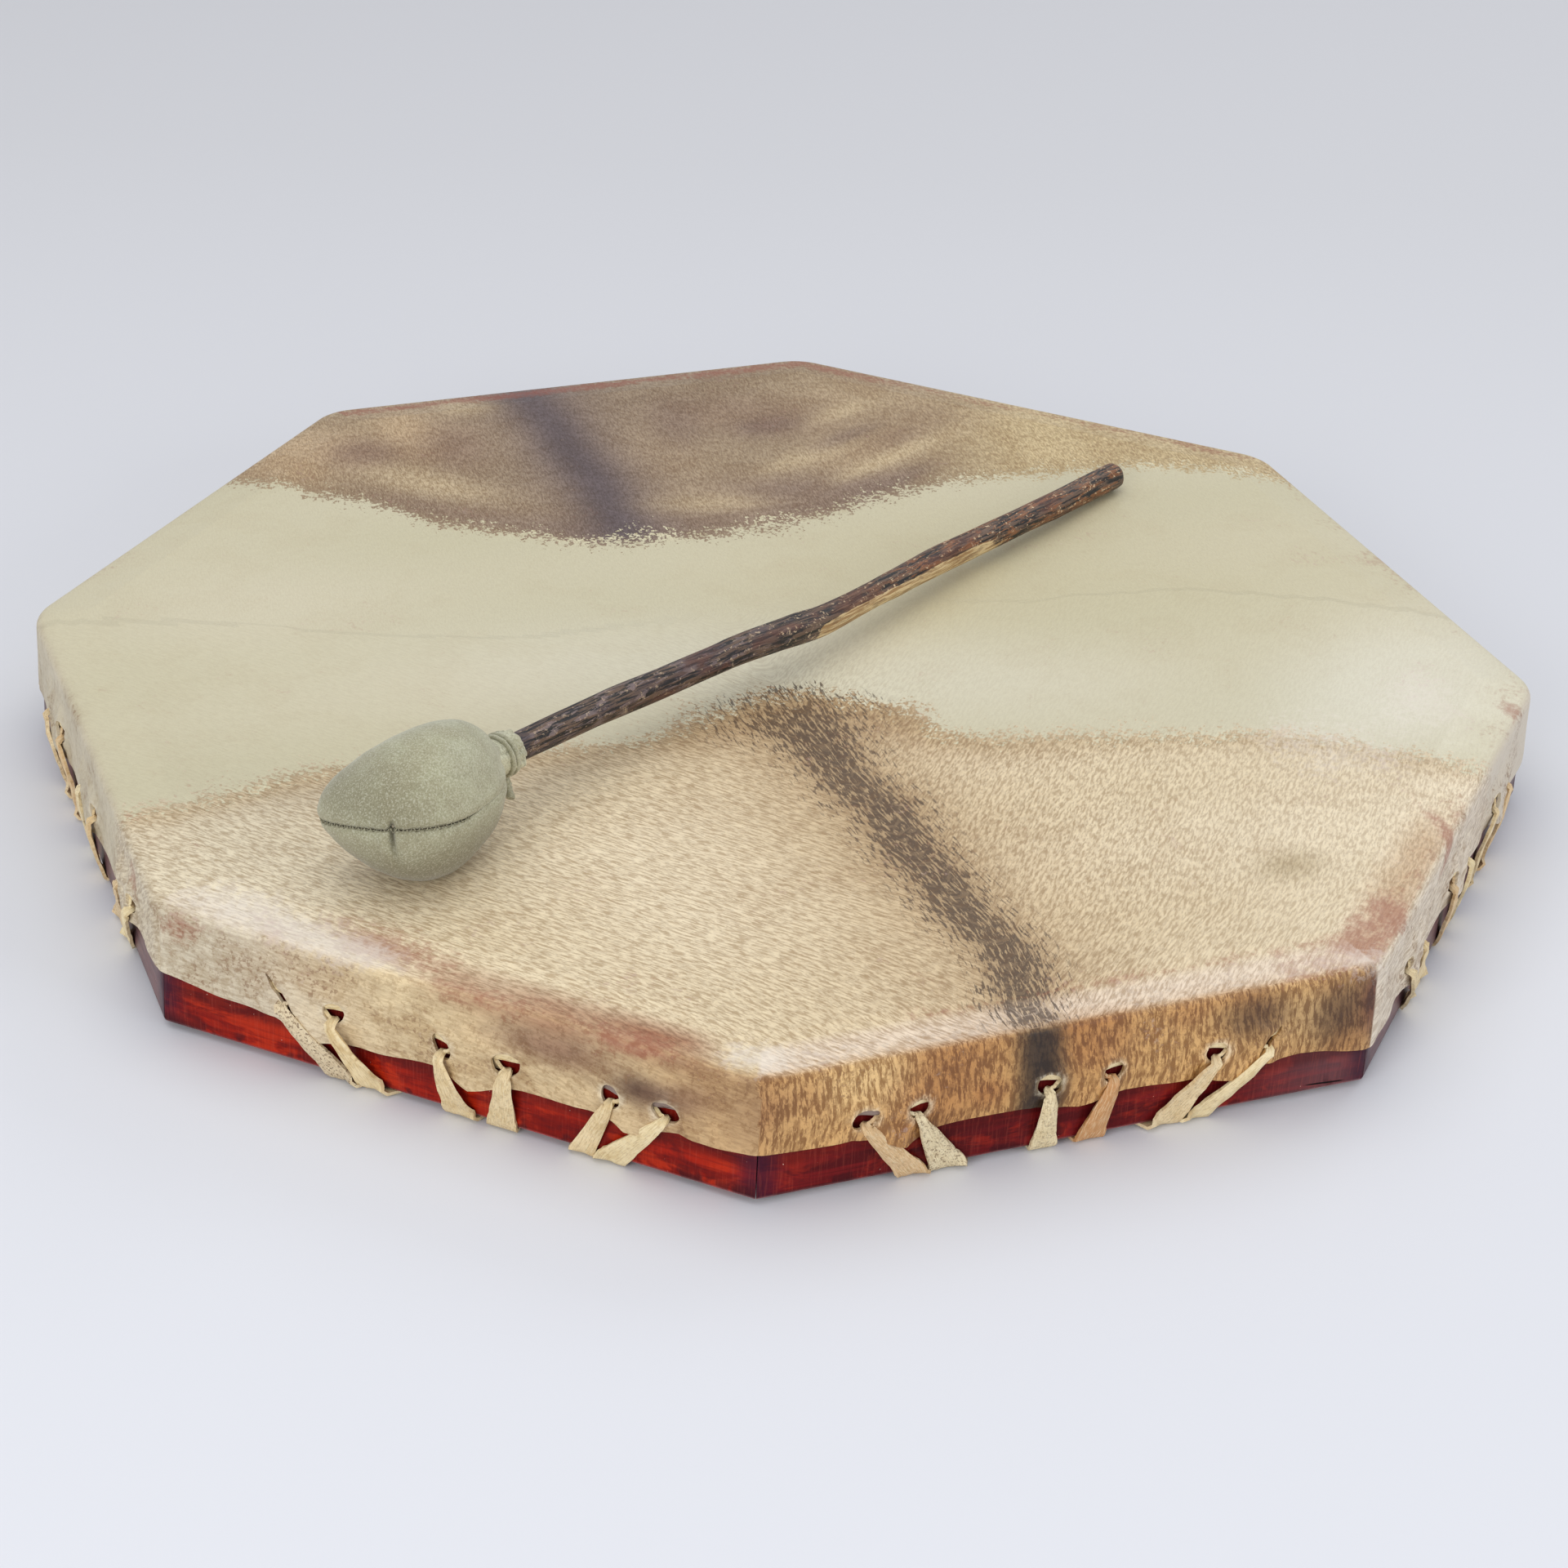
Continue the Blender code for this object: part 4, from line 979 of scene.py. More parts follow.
def wood_finish():
    finish = Finish("stained_board", IOR=1.5, Specular_IOR_Level=0.07, Coat_Roughness=0.15)
    x, y, z = finish.parts(finish.place())
    angle = finish.node("ShaderNodeMath", {"operation": "ARCTAN2"}, {0: y, 1: x}) + math.pi / 2
    sector = angle / (2 * HALF_TURN)
    number = sector.maths("FLOOR")
    local = (sector - number - 0.5) * (2 * HALF_TURN)
    reach = (x * x + y * y).maths("SQRT")
    along = reach * local.maths("SINE")
    depth = reach * local.maths("COSINE")
    front, near = (number.maths("COMPARE", n, 0.5) for n in (-1.0, 0.0))

    board = finish.node("ShaderNodeCombineXYZ", None, {0: along + number * 3.7, 1: depth, 2: z})
    figure = finish.streaks(board, (9, 60, 150), 4.0, 0.6, 0.8)
    lines = finish.streaks(board, (22, 260, 900))
    cross = finish.streaks(board, (1500, 120, 90), 2.0)
    blotch = finish.streaks(board, (45, 60, 110), 4.0, 0.65, 0.5)
    pool = finish.streaks(board, (70, 40, 60))
    fleck = finish.noise(board, 900, 1.0, 0.5)

    figured = figure.step(0.42, 0.58)
    # Each side's tint stands in for how the light falls on it: the near left boards are painted a lit bright
    # red, the near right a shaded darker maroon and the other sides a greyer mauve
    red = finish.layers(
        finish.mix(figured, shade(126, 22, 14), shade(166, 34, 16)),
        (blotch.step(0.50, 0.62) * 0.75, shade(192, 50, 20)),
        ((1 - lines).step(0.50, 0.62) * 0.30, shade(88, 18, 18)),
        ((1 - blotch).step(0.51, 0.62) * 0.55, shade(84, 16, 20)))
    shaded_maroon = finish.layers(finish.mix(figured, shade(84, 18, 22), shade(120, 26, 28)),
                           (blotch.step(0.50, 0.62) * near * 0.7, shade(150, 38, 26)))
    mauve = finish.mix(figured, shade(104, 80, 84), shade(122, 92, 92))

    # The band under the head is darker, the foot is painted paler, for wear and for a painted sheen along its
    # rounded edge, and the mitres hold dark stain
    upper = z.step(0.0095 + WOOD_BOTTOM, 0.0150) * (1 - z.step(0.030, 0.034))
    mitre = (along + (cross - 0.5) * 0.002).maths("ABSOLUTE").step(0.0935, 0.1035)
    low = 1 - z.step(0.003, 0.0095)
    stain = pool + along.step(0.070, 0.1) * 0.16 * front \
        + (1 - along.step(-0.1, -0.080)) * 0.10 * front + low * 0.05
    foot = 1 - z.step(WOOD_BOTTOM + 0.0004, WOOD_BOTTOM + 0.0013)
    rubbed_and_sheen = foot * depth.step(APOTHEM - 0.003, APOTHEM - 0.001)
    inner = 1 - depth.step(APOTHEM - 0.0205, APOTHEM - 0.0195)
    crack_z = z - 0.0040 + (along - 0.0905) * 0.055 + (lines - 0.5) * 0.0008
    crack_ends = along.step(0.0820, 0.0850) * (1 - along.step(0.0955, 0.0985))
    crack = (1 - crack_z.maths("ABSOLUTE").step(0.00012, 0.00040)) * crack_ends * near
    tone = finish.layers(
        finish.mix(front, finish.mix(near, mauve, shaded_maroon), red),
        (along.step(0.050, 0.098) * near * 0.55, shade(112, 84, 88)),
        (upper * (front * 0.62 + near * 0.5), shade(76, 14, 14)),
        (mitre * 0.72, shade(46, 22, 44)),
        (stain.step(0.60, 0.66) * low * 0.75, shade(60, 18, 24)),
        (cross.step(0.54, 0.66) * 0.10, shade(190, 90, 70)),
        ((1 - cross).step(0.54, 0.66) * 0.14, shade(60, 14, 14)),
        # The foot's pale line: rubbed wear, and painted sheen along the rounded edge
        (rubbed_and_sheen * 0.55 * blotch.step(0.35, 0.55), shade(178, 120, 122)),
        (fleck.step(0.80, 0.82) * 0.8, shade(214, 176, 160)),
        (inner * 0.55, shade(122, 62, 46)),
        (crack, shade(14, 6, 8)))
    height = lines * 0.5 + cross * 0.35 + figure * 0.3 - crack * 2.0
    rough = 0.34 + (blotch - 0.5) * 0.3 + (cross - 0.5) * 0.15
    coat = (front * 0.05 + 0.02) + blotch * 0.05
    return finish.wear(tone, (height, 0.00018, 0.5), Roughness=rough.clamped(), Coat_Weight=coat)


# The laces

RIM_Z = HOLE_Z - 0.0036
LIP_Z = RIM_Z + GAP + 0.0010
SLOT_PITCH = 0.0036
SLOT_TURN = 0.172
ROW_PITCH = 0.0018
SPOKE_HEIGHT = 0.0038

# How the strands that face the camera lie: foot along the side, width at the hole and above the foot, fold,
# tan and speckle. A fold above 0 turns the strand's edges outwards into a crease, and one below 0 rounds
# them in behind.
STRANDS = {
    (7, 0): (-0.0368, 0.0052, 0.0100, -0.5, 0.25, 1.0), (7, 1): (-0.0262, 0.0048, 0.0097, 1.2, 0.10, 0.1),
    (7, 2): (0.0043, 0.0038, 0.0110, 1.0, 0.15, 0.2), (7, 3): (0.0184, 0.0052, 0.0102, -0.7, 0.15, 0.25),
    (7, 4): (0.0457, 0.0040, 0.0080, -0.9, 0.20, 0.1), (7, 5): (0.0548, 0.0040, 0.0092, -0.4, 0.05, 0.1),
    (0, 0): (-0.0522, 0.0046, 0.0092, -0.9, 0.55, 0.2), (0, 1): (-0.0409, 0.0036, 0.0118, 0.5, 0.00, 0.9),
    (0, 2): (-0.0093, 0.0044, 0.0090, -0.9, 0.00, 0.5), (0, 3): (0.0064, 0.0044, 0.0098, -0.7, 1.00, 0.1),
    (0, 4): (0.0319, 0.0040, 0.0104, 0.2, 0.25, 0.3), (0, 5): (0.0427, 0.0034, 0.0080, -0.6, 0.05, 0.1),
}


def strand_look(k, hole):
    if (k, hole) in STRANDS:
        return STRANDS[k, hole]
    n = 6 * k + hole
    foot = SPOKE_SHIFT_OF_SIDE.get(k, 0.0) * 0.27 + 0.73 * holes_of(k)[hole]
    return (foot, 0.0044 + 0.0006 * math.sin(n * 1.7), 0.0094 + 0.0010 * math.sin(n * 2.9),
            -0.35 if n % 3 else 0.30, 0.25 + 0.25 * math.sin(n * 4.1), 0.2 + 0.2 * math.cos(n * 3.3))


def head_out(k, along, z):
    return GAP + SKIN + float(stretch_over_laces(k, np.array([along]), np.array([z]))[0])


def strand(k, hole, slot, row, to_partner):
    """Stations of a lace: from the ring along its spoke, under the board, up to its hole, behind the head.

    Each is a middle, a direction across, a direction through, a width and a curl.
    """
    foot, width_top, width_foot, fold, _, _ = strand_look(k, hole)
    outward, sideways = side_axes(k)
    hole_x = holes_of(k)[hole]
    bound, spoke_out = bound_point(k)
    spoke_across = quarter_turned(spoke_out)
    half = LACE / 2
    spoke_x = SPOKE_SHIFT_OF_SIDE.get(k, 0.0) + slot * SLOT_PITCH
    stations = []

    def along_at(travel):
        if travel > LIP_Z:
            return foot + (spoke_x - foot) * (travel - LIP_Z) / GATHER_DEPTH
        return hole_x + (foot - hole_x) * travel / LIP_Z

    # Round the ring
    azimuth = math.atan2(spoke_out[1], spoke_out[0]) + slot * SLOT_TURN
    radial = np.array([math.cos(azimuth), math.sin(azimuth), 0.0])
    rod = radial * RING_RADIUS + UP * RING_HEIGHT
    for turn in (math.pi * 0.985, math.pi * 3 / 4, math.pi / 2):
        way = radial * math.cos(turn) + UP * math.sin(turn) * row
        middle = rod + way * (RING_ROD + 0.0005 + half)
        stations.append((middle, quarter_turned(radial), way * row, 0.0032, 0.0))

    # Along the spoke to its binding
    z = SPOKE_HEIGHT + row * ROW_PITCH / 2
    level = UP * z + spoke_across * slot * SLOT_PITCH
    for middle, width, curl in ((bound * 0.55, 0.0034, 0.2 * row), (bound - spoke_out * 0.012, 0.0032, 0.0),
                                (bound, 0.0032, 0.0)):
        stations.append((middle + level, spoke_across, UP, width, curl))

    # Fanning out and under the board
    for depth, height, width, curl in ((GATHER_DEPTH - 0.018, z, 0.0042, 0.3 * row),
                                       (BOARD_THICKNESS + 0.0015, half, 0.0066, 0.0),
                                       (0.011, half, width_foot * 0.93, 0.0)):
        stations.append((on_side(k, along_at(LIP_Z + depth), -depth, height), sideways, UP, width, curl))
    bend = FOOT_RADIUS + GAP + half
    for turn in (0.0, math.pi / 4, math.pi / 2):
        out = -FOOT_RADIUS + bend * math.sin(turn)
        z = WOOD_BOTTOM + FOOT_RADIUS - bend * math.cos(turn)
        through = UP * math.cos(turn) - outward * math.sin(turn)
        travel = LIP_Z + FOOT_RADIUS if turn == 0 else LIP_Z - z * math.sin(turn)
        stations.append((on_side(k, along_at(travel), out, z), sideways, through, width_foot, 0.0))

    # Up the outside
    def outside(z, width, curl):
        along = along_at(LIP_Z - z)
        low = float(hem(k, np.array([along]))[0])
        resting = max(head_out(k, along + e, max(z, low)) for e in (-width / 2, 0, width / 2))
        share = min(1.0, max(0.0, (z - 0.004) / max(low - 0.004, 0.002)))
        out = (GAP + (resting - GAP) * share) + GAP + half + abs(curl) * 0.0006
        return (on_side(k, along, out, z), sideways, -outward, width, curl)

    low = float(hem(k, np.array([along_at(LIP_Z - 0.017)]))[0])
    for z, narrow, folded in ((0.0065, 0.20, 0.3), (0.0110, 0.42, 0.5), (low + 0.0003, 0.70, 0.7),
                              (RIM_Z - 0.0012, 1.0, 0.9)):
        stations.append(outside(z, width_foot * (1 - narrow) + narrow * width_top, fold * folded))
    stations.append(outside(RIM_Z + 0.0006, width_top * 0.90, fold * 0.9))

    # In through the hole and behind the head
    lip = LIP_Z + 0.0002
    middle = head_out(k, hole_x, LIP_Z) - SKIN / 2
    behind = GAP + half
    stations.append((on_side(k, hole_x, middle, lip), sideways, -UP, width_top * 0.72, 0.5))
    stations.append((on_side(k, hole_x + to_partner * 0.0020, behind + 0.0004, lip),
                     (outward + UP) * to_partner * 0.7, (outward - UP) * 0.7, 0.0030, 0.0))
    stations.append((on_side(k, hole_x + to_partner * 0.0062, behind, HOLE_Z - 0.0006),
                     UP * to_partner, outward, 0.0042, 0.0))
    return stations


STRIP_COLUMNS = 10
STRIP_ROWS = 150


def make_lace(number, k, pair, slot, finish):
    """A lace: a flat strip from the ring to one hole, behind the head to the pair's other hole, and back."""
    upper = strand(k, 2 * pair, slot, 1, 1)
    lower = strand(k, 2 * pair + 1, slot, -1, -1)
    back = [(m, -a, t, w, c) for m, a, t, w, c in lower]
    table = np.array([np.concatenate([m, a, t, [w, c]]) for m, a, t, w, c in upper + back[::-1]])
    # More rows where the strip shows
    seen, last = len(upper) - 12, len(table) - 1
    knots = [0, 6, seen, len(upper) - 0.5, last - seen, last - 6, last]
    path = curve_through(table, np.interp(np.linspace(0, 6, STRIP_ROWS), np.arange(7), knots))
    middle, across, width, curl = path[:, 0:3], path[:, 3:6], path[:, 9], path[:, 10]
    tangent = unit(np.gradient(middle, axis=0))
    across = unit(across - tangent * (across * tangent).sum(1)[:, None])
    through = np.cross(tangent, across)

    piece = add(bpy.ops.mesh.primitive_grid_add, f"lace_strip_{number:02d}", size=2,
                x_subdivisions=STRIP_COLUMNS, y_subdivisions=STRIP_ROWS - 1)
    u, v, _ = points_of(piece).T
    r = np.rint((v + 1) / 2 * (STRIP_ROWS - 1)).astype(int)
    rng = np.random.default_rng(40 + number)
    length = np.concatenate([[0], np.cumsum(np.linalg.norm(np.diff(middle, axis=0), axis=1))])
    ragged = 1 + 0.022 * np.sin(length * 700 + number) + 0.018 * np.sin(length * 1900 + 3 * number) \
        + 0.010 * rng.normal(size=STRIP_ROWS)
    w = (width * ragged)[r]
    bend, side = curl[r], u * w / 2
    lift = np.abs(u) ** 1.6 * w * 0.34 * bend
    squeeze = 1 - 0.26 * np.minimum(np.abs(bend), 1.2) * np.abs(u)
    points = middle[r] + across[r] * (side * squeeze)[:, None] - through[r] * lift[:, None]
    wave = 0.00014 * np.sin(length[r] * 700 + u * 3 + number) + 0.00010 * ripple(points, 0.006, 60 + number)
    upright = np.abs(through[r] @ UP) < 0.5
    points += through[r] * np.where(upright, wave, 0)[:, None]
    lowest = 0.00062
    points[:, 2] = np.maximum(points[:, 2], lowest)
    set_points(piece, points)

    loops, _ = loops_of(piece)
    store_map(piece, "strip", np.stack([side, length[r]], 1)[loops], piece.data.uv_layers[0])
    first = r < STRIP_ROWS / 2
    looks = [strand_look(k, 2 * pair), strand_look(k, 2 * pair + 1)]
    store(piece, tan=np.where(first, looks[0][4], looks[1][4]),
          speckle=np.where(first, looks[0][5], looks[1][5]),
          stain=0.0)
    modify(piece, "SOLIDIFY", thickness=0.0011, offset=0.0)
    join(piece, make_crossing(k, pair))
    settle(piece, finish, "drum", "rawhide_lace", f"lace_{number:02d}", smooth=55)


STAINED_HOLES = ((7, 4), (7, 5), (0, 0))


def make_crossing(k, pair):
    """The part of a lace that crosses behind a pair of holes and fills the upper half of both."""
    left, right = pairs_of(k)[pair]
    piece = add(bpy.ops.mesh.primitive_cube_add, "lace_crossing", size=2)
    subdivide(piece, 15)
    u, v, w = points_of(piece).T
    past_the_holes = 0.0044
    along = (left + right) / 2 + u * ((right - left) / 2 + past_the_holes)
    z = HOLE_Z + 0.0036 + v * 0.0022 + 0.0003 * np.cos(u * 9 + k)
    out = np.where(w > 0, GAP + stretch_over_laces(k, along, z) - 0.00004, 0.00005)
    outward, sideways = side_axes(k)
    set_points(piece, outward * APOTHEM + np.outer(along, sideways) + np.outer(out, outward)
               + np.outer(z, UP))
    loops, _ = loops_of(piece)
    store_map(piece, "strip", np.stack([z, along], 1)[loops], piece.data.uv_layers[0])
    worn = [(k, 2 * pair + i) in STAINED_HOLES for i in (0, 1)]
    store(piece, tan=0.05, speckle=0.15, stain=np.where(u < 0, worn[0], worn[1]))
    return piece


def lace_finish():
    finish = Finish("lace_hide", IOR=1.5)
    place = finish.place()
    tan, speckle, stain = (finish.attribute(name) for name in ("tan", "speckle", "stain"))
    fibre = finish.streaks(finish.map("strip"), (2600, 260, 1), 4.0, 0.65, 0.4)
    cloud = finish.noise(place, 180, 3.0, 0.6)
    spots = finish.noise(place, 1100, 3.0, 0.7)
    tone = finish.layers(
        finish.mix(cloud.step(0.35, 0.7), shade(244, 226, 180), shade(226, 204, 152)),
        (tan * 0.9, shade(196, 132, 70)),
        (speckle * 0.45, shade(206, 198, 178)),
        (fibre.step(0.48, 0.62) * 0.40, shade(240, 228, 192)),
        ((1 - fibre).step(0.50, 0.64) * 0.36, shade(160, 126, 80)),
        (spots.step(0.52, 0.62) * (speckle * 0.75 + 0.06), shade(112, 84, 58)),
        (stain * 0.85, shade(112, 92, 96)))
    rough = 0.62 + (fibre - 0.5) * 0.3
    return finish.wear(tone, (fibre * 0.7 + spots * 0.3 + cloud * 0.3, 0.00022, 0.7),
                       Roughness=rough.clamped())


# Round pieces that follow a path

def tube(name, path, radii, columns, ends=True, shape=None):
    """A round piece along a path. shape(angle, share) may give each point's own reach, as a factor."""
    piece, column, row = stacked_loops(name, columns, len(path))
    tangent = unit(np.gradient(path, axis=0))
    normal = np.zeros_like(path)
    normal[0] = unit(np.cross(tangent[0], UP if abs(tangent[0] @ UP) < 0.9 else np.array([1.0, 0, 0])))
    for i in range(1, len(path)):
        normal[i] = unit(normal[i - 1] - tangent[i] * (normal[i - 1] @ tangent[i]))
    across = np.cross(tangent, normal)
    angle = 2 * math.pi * column / columns
    reach = np.broadcast_to(radii, (len(path),))[row]
    if shape is not None:
        reach = reach * shape(angle, row / (len(path) - 1))
    set_points(piece, path[row] + normal[row] * (np.cos(angle) * reach)[:, None]
               + across[row] * (np.sin(angle) * reach)[:, None])
    if ends:
        def close_ends():
            bpy.ops.mesh.select_all(action="DESELECT")
            bpy.ops.mesh.select_mode(type="EDGE")
            bpy.ops.mesh.select_non_manifold()
            bpy.ops.mesh.fill_holes(sides=0)
        edit(piece, close_ends, outward_faces)
    return piece


def make_bindings(finish):
    """A cord wound round each bundle of strands, just inside the frame."""
    per_turn, turns, pitch, radius = 28, 4, 0.0026, 0.0008
    wide, high = 0.0065, 0.00285
    i = np.arange(turns * per_turn + 1)
    turn = 2 * math.pi * i / per_turn
    c, s = np.cos(turn), np.sin(turn)
    x = wide * np.sign(c) * np.abs(c) ** 0.55
    z = SPOKE_HEIGHT + high * np.sign(s) * np.abs(s) ** 0.75
    for k in range(8):
        bound, outward = bound_point(k)
        path = bound - np.outer(radius + pitch * i / per_turn, outward) \
            + np.outer(x, quarter_turned(outward)) + np.outer(z, UP)
        cord = tube(f"spoke_cord_{k + 1}", path, radius, 10)
        points = points_of(cord)
        rows = np.arange(len(points)) % len(path)
        loops, _ = loops_of(cord)
        store_map(cord, "strip", np.stack([points[:, 2], rows * 0.0005], 1)[loops])
        store(cord, tan=0.35, speckle=0.2, stain=0.0)
        settle(cord, finish, "drum", "rawhide_lace", f"spoke_binding_{k + 1}", smooth=60)


def make_ring():
    finish = Finish("ring_steel", Metallic=1.0)
    place = finish.place()
    brushed = finish.streaks(place, (900, 900, 4000))
    patina = finish.noise(place, 240, 4.0, 0.65)
    tone = finish.mix(patina.step(0.45, 0.72) * 0.6, shade(188, 188, 190), shade(126, 116, 106))
    rough = 0.28 + brushed * 0.25 + patina.step(0.5, 0.7) * 0.2
    finish.wear(tone, (brushed, 0.00004, 0.5), Roughness=rough.clamped())
    ring = add(bpy.ops.mesh.primitive_torus_add, "grip_ring", major_radius=RING_RADIUS, minor_radius=RING_ROD,
               major_segments=96, minor_segments=18, location=(0, 0, RING_HEIGHT))
    points = points_of(ring)
    angle = np.arctan2(points[:, 1], points[:, 0])
    weld = bell(angle - 0.4, 0.035)
    middle = np.stack([RING_RADIUS * np.cos(angle), RING_RADIUS * np.sin(angle), np.zeros_like(angle)], 1)
    set_points(ring, middle + (points - middle) * (1 + 0.07 * weld + 0.01 * np.sin(9 * angle))[:, None])
    settle(ring, finish.material, "drum", "ring_steel", "centre_ring", smooth=60)


# The beater, in its own frame: its head's middle at the origin and its stick along +X

BEATER_PLACE = (-0.1123, -0.1675)
BEATER_HEADING = math.radians(52.64)
HEAD_HALF = np.array([0.0312, 0.0216, 0.0248])
HEAD_REST = HEAD_HALF[2] - 0.0008       # the head is pressed flat where it lies
HEAD_MEAN = 0.027
HEAD_TIP = 0.0069
HEAD_TIP_WAY = np.array([-0.607, 0.795, 0.0])
HEAD_TAPER = 0.178
HEAD_Z = SKIN_TOP + GAP + HEAD_REST
COVER = 0.0013
STICK_RADIUS = 0.0055
# Along the stick from its head's middle, to the left of that line, clear height under the stick, and girth
STICK_ROUTE = (
    (-0.0140, 0.0048, 0.01970, 0.90), (0.0200, 0.0048, 0.01797, 0.93), (0.0534, 0.0048, 0.01642, 0.93),
    (0.0845, 0.0046, 0.01480, 0.96), (0.1050, 0.0043, 0.01367, 0.99), (0.1459, 0.0020, 0.01194, 0.96),
    (0.1589, 0.0016, 0.01117, 0.99), (0.1792, -0.0006, 0.01001, 1.03), (0.1997, -0.0030, 0.00907, 1.03),
    (0.2243, -0.0027, 0.00859, 0.91), (0.2502, -0.0019, 0.00727, 0.93), (0.2776, -0.0006, 0.00556, 1.01),
    (0.3045, -0.0002, 0.00457, 0.96), (0.3315, -0.0004, 0.00344, 0.94), (0.3598, -0.0002, 0.00202, 0.96),
    (0.3901, 0.0007, 0.00044, 0.99), (0.3975, 0.0006, 0.00031, 0.98), (0.4008, 0.0006, 0.00031, 0.98),
)
STICK_START, STICK_END = STICK_ROUTE[0][0], STICK_ROUTE[-1][0]


def beater_to_drum(points):
    x, y = turned(points[:, 0], points[:, 1], BEATER_HEADING)
    return np.stack([BEATER_PLACE[0] + x, BEATER_PLACE[1] + y, HEAD_Z + points[:, 2]], 1)


def stick_line(count):
    """Points along the middle of the stick, and its girth there."""
    route = [(x, y, gap + STICK_RADIUS * girth - (HEAD_Z - SKIN_TOP), girth)
             for x, y, gap, girth in STICK_ROUTE]
    fine = curve_through(route, np.linspace(0, len(route) - 1, count))
    x = np.linspace(STICK_START, fine[-1, 0], count)
    return np.column_stack([x, middle_at(x, fine)]), np.interp(x, fine[:, 0], fine[:, 3])


def middle_at(x, line):
    """Where a line's middle is across and up, at places along it."""
    return np.stack([np.interp(x, line[:, 0], line[:, i]) for i in (1, 2)], -1)


def head_shape(direction, inset=0.0):
    """The stuffed head, from directions out of its middle, with a tip at the far corner of its seam."""
    toward = direction @ HEAD_TIP_WAY
    points = direction * (HEAD_HALF - inset)
    onward = np.outer(points @ HEAD_TIP_WAY, HEAD_TIP_WAY)
    narrow = 1 - HEAD_TAPER * toward * (1 - toward ** 2)
    points = onward + (points - onward) * narrow[:, None]
    points += np.outer(HEAD_TIP * np.maximum(0, toward) ** 6, HEAD_TIP_WAY)
    points[:, 2] = np.maximum(points[:, 2], -(HEAD_REST - inset))
    return points


SEAM_NORMAL = unit(np.array([0.076, 0.161, 0.984]))
SEAM_AHEAD = unit(np.array([1.0, 0, 0]) - SEAM_NORMAL * SEAM_NORMAL[0])
SEAM_SIDE = np.cross(SEAM_NORMAL, SEAM_AHEAD)
# How far the hand-sewn seam wanders off its plane, by turn from the stick, both in degrees
SEAM_WANDER = ((0, 0), (110, -1.1), (125, -2.6), (143, -3.2), (161, 0), (179, 1.7), (195, 2.3), (207, 1.9),
               (222, 1.7), (234, 0.6), (246, -1.0), (259, -2.7), (269, -2.9), (278, -1.0), (297, 1.2),
               (315, 2.6), (345, 0), (360, 0))
STITCHES = 132
PUCKER = math.radians(-146)


def seam_direction(turn, latitude):
    """Directions from the head's middle. turn is 0 at the stick and latitude 0 on the seam."""
    turns, offsets = np.radians(np.array(SEAM_WANDER, float)).T
    around = np.mod(turn, 2 * math.pi)
    offset = sum(np.interp(np.mod(around + step, 2 * math.pi), turns, offsets)
                 for step in (-0.08, 0, 0.08)) / 3
    latitude = latitude + offset * np.cos(latitude) ** 2
    flat = np.cos(turn)[:, None] * SEAM_AHEAD + np.sin(turn)[:, None] * SEAM_SIDE
    return flat * np.cos(latitude)[:, None] + SEAM_NORMAL * np.sin(latitude)[:, None]


def plain_seam(turn):
    """1 along the stretch on the right where the seam is sewn from inside and hardly shows."""
    return smooth(np.mod(turn, 2 * math.pi), math.radians(262), math.radians(282))


def tuck_at(away, depth, half):
    """How far into the tuck a point of the cover is: 0 to 1."""
    return bell(away, 0.028 + 1.4 * depth) * bell(depth, 0.0100 if half < 0 else 0.0026)


def cover_surface(turn, latitude, half):
    """The cover's outer surface, drawn in at the seam, puckered by the stitches and gathered at the stick."""
    depth = np.abs(latitude) * HEAD_MEAN
    away = half_turn_either_way(turn - PUCKER)
    direction = seam_direction(turn, latitude + 0.050 * bell(away, 0.045) * bell(depth, 0.004))
    points = head_shape(direction)
    inward = 0.0008 * (1 - 0.8 * plain_seam(turn)) * bell(depth, 0.0008) \
        + 0.00016 * np.cos(turn * STITCHES) * bell(depth - 0.0013, 0.0009)
    inward -= 0.0003 * bell(depth - 0.0030, 0.0015)
    inward += tuck_at(away, depth, half) * (0.0024 if half < 0 else 0.0016)
    inward -= 0.0009 * bell(np.abs(away) - 0.13, 0.06) * bell(depth - 0.003, 0.006)
    for side in (-0.13, 0.11):
        inward += 0.0006 * (half > 0) * bell(away - side - side * depth * 60, 0.03) * bell(depth, 0.006)
    # Folds run out of the collar
    around = np.arctan2(direction[:, 2], direction[:, 1])
    fold = np.cos(around * 9 + 0.8) * 0.7 + np.cos(around * 14 + 2.0) * 0.5
    inward += 0.0006 * smooth(np.clip(direction[:, 0], 0, 1), 0.80, 0.97) * fold
    inward += 0.00022 * ripple(points, 0.026, 91) + 0.00012 * ripple(points, 0.010, 92)
    inward = np.where(points[:, 2] <= -(HEAD_REST - 0.0001), 0.0, inward)
    return points - direction * inward[:, None]


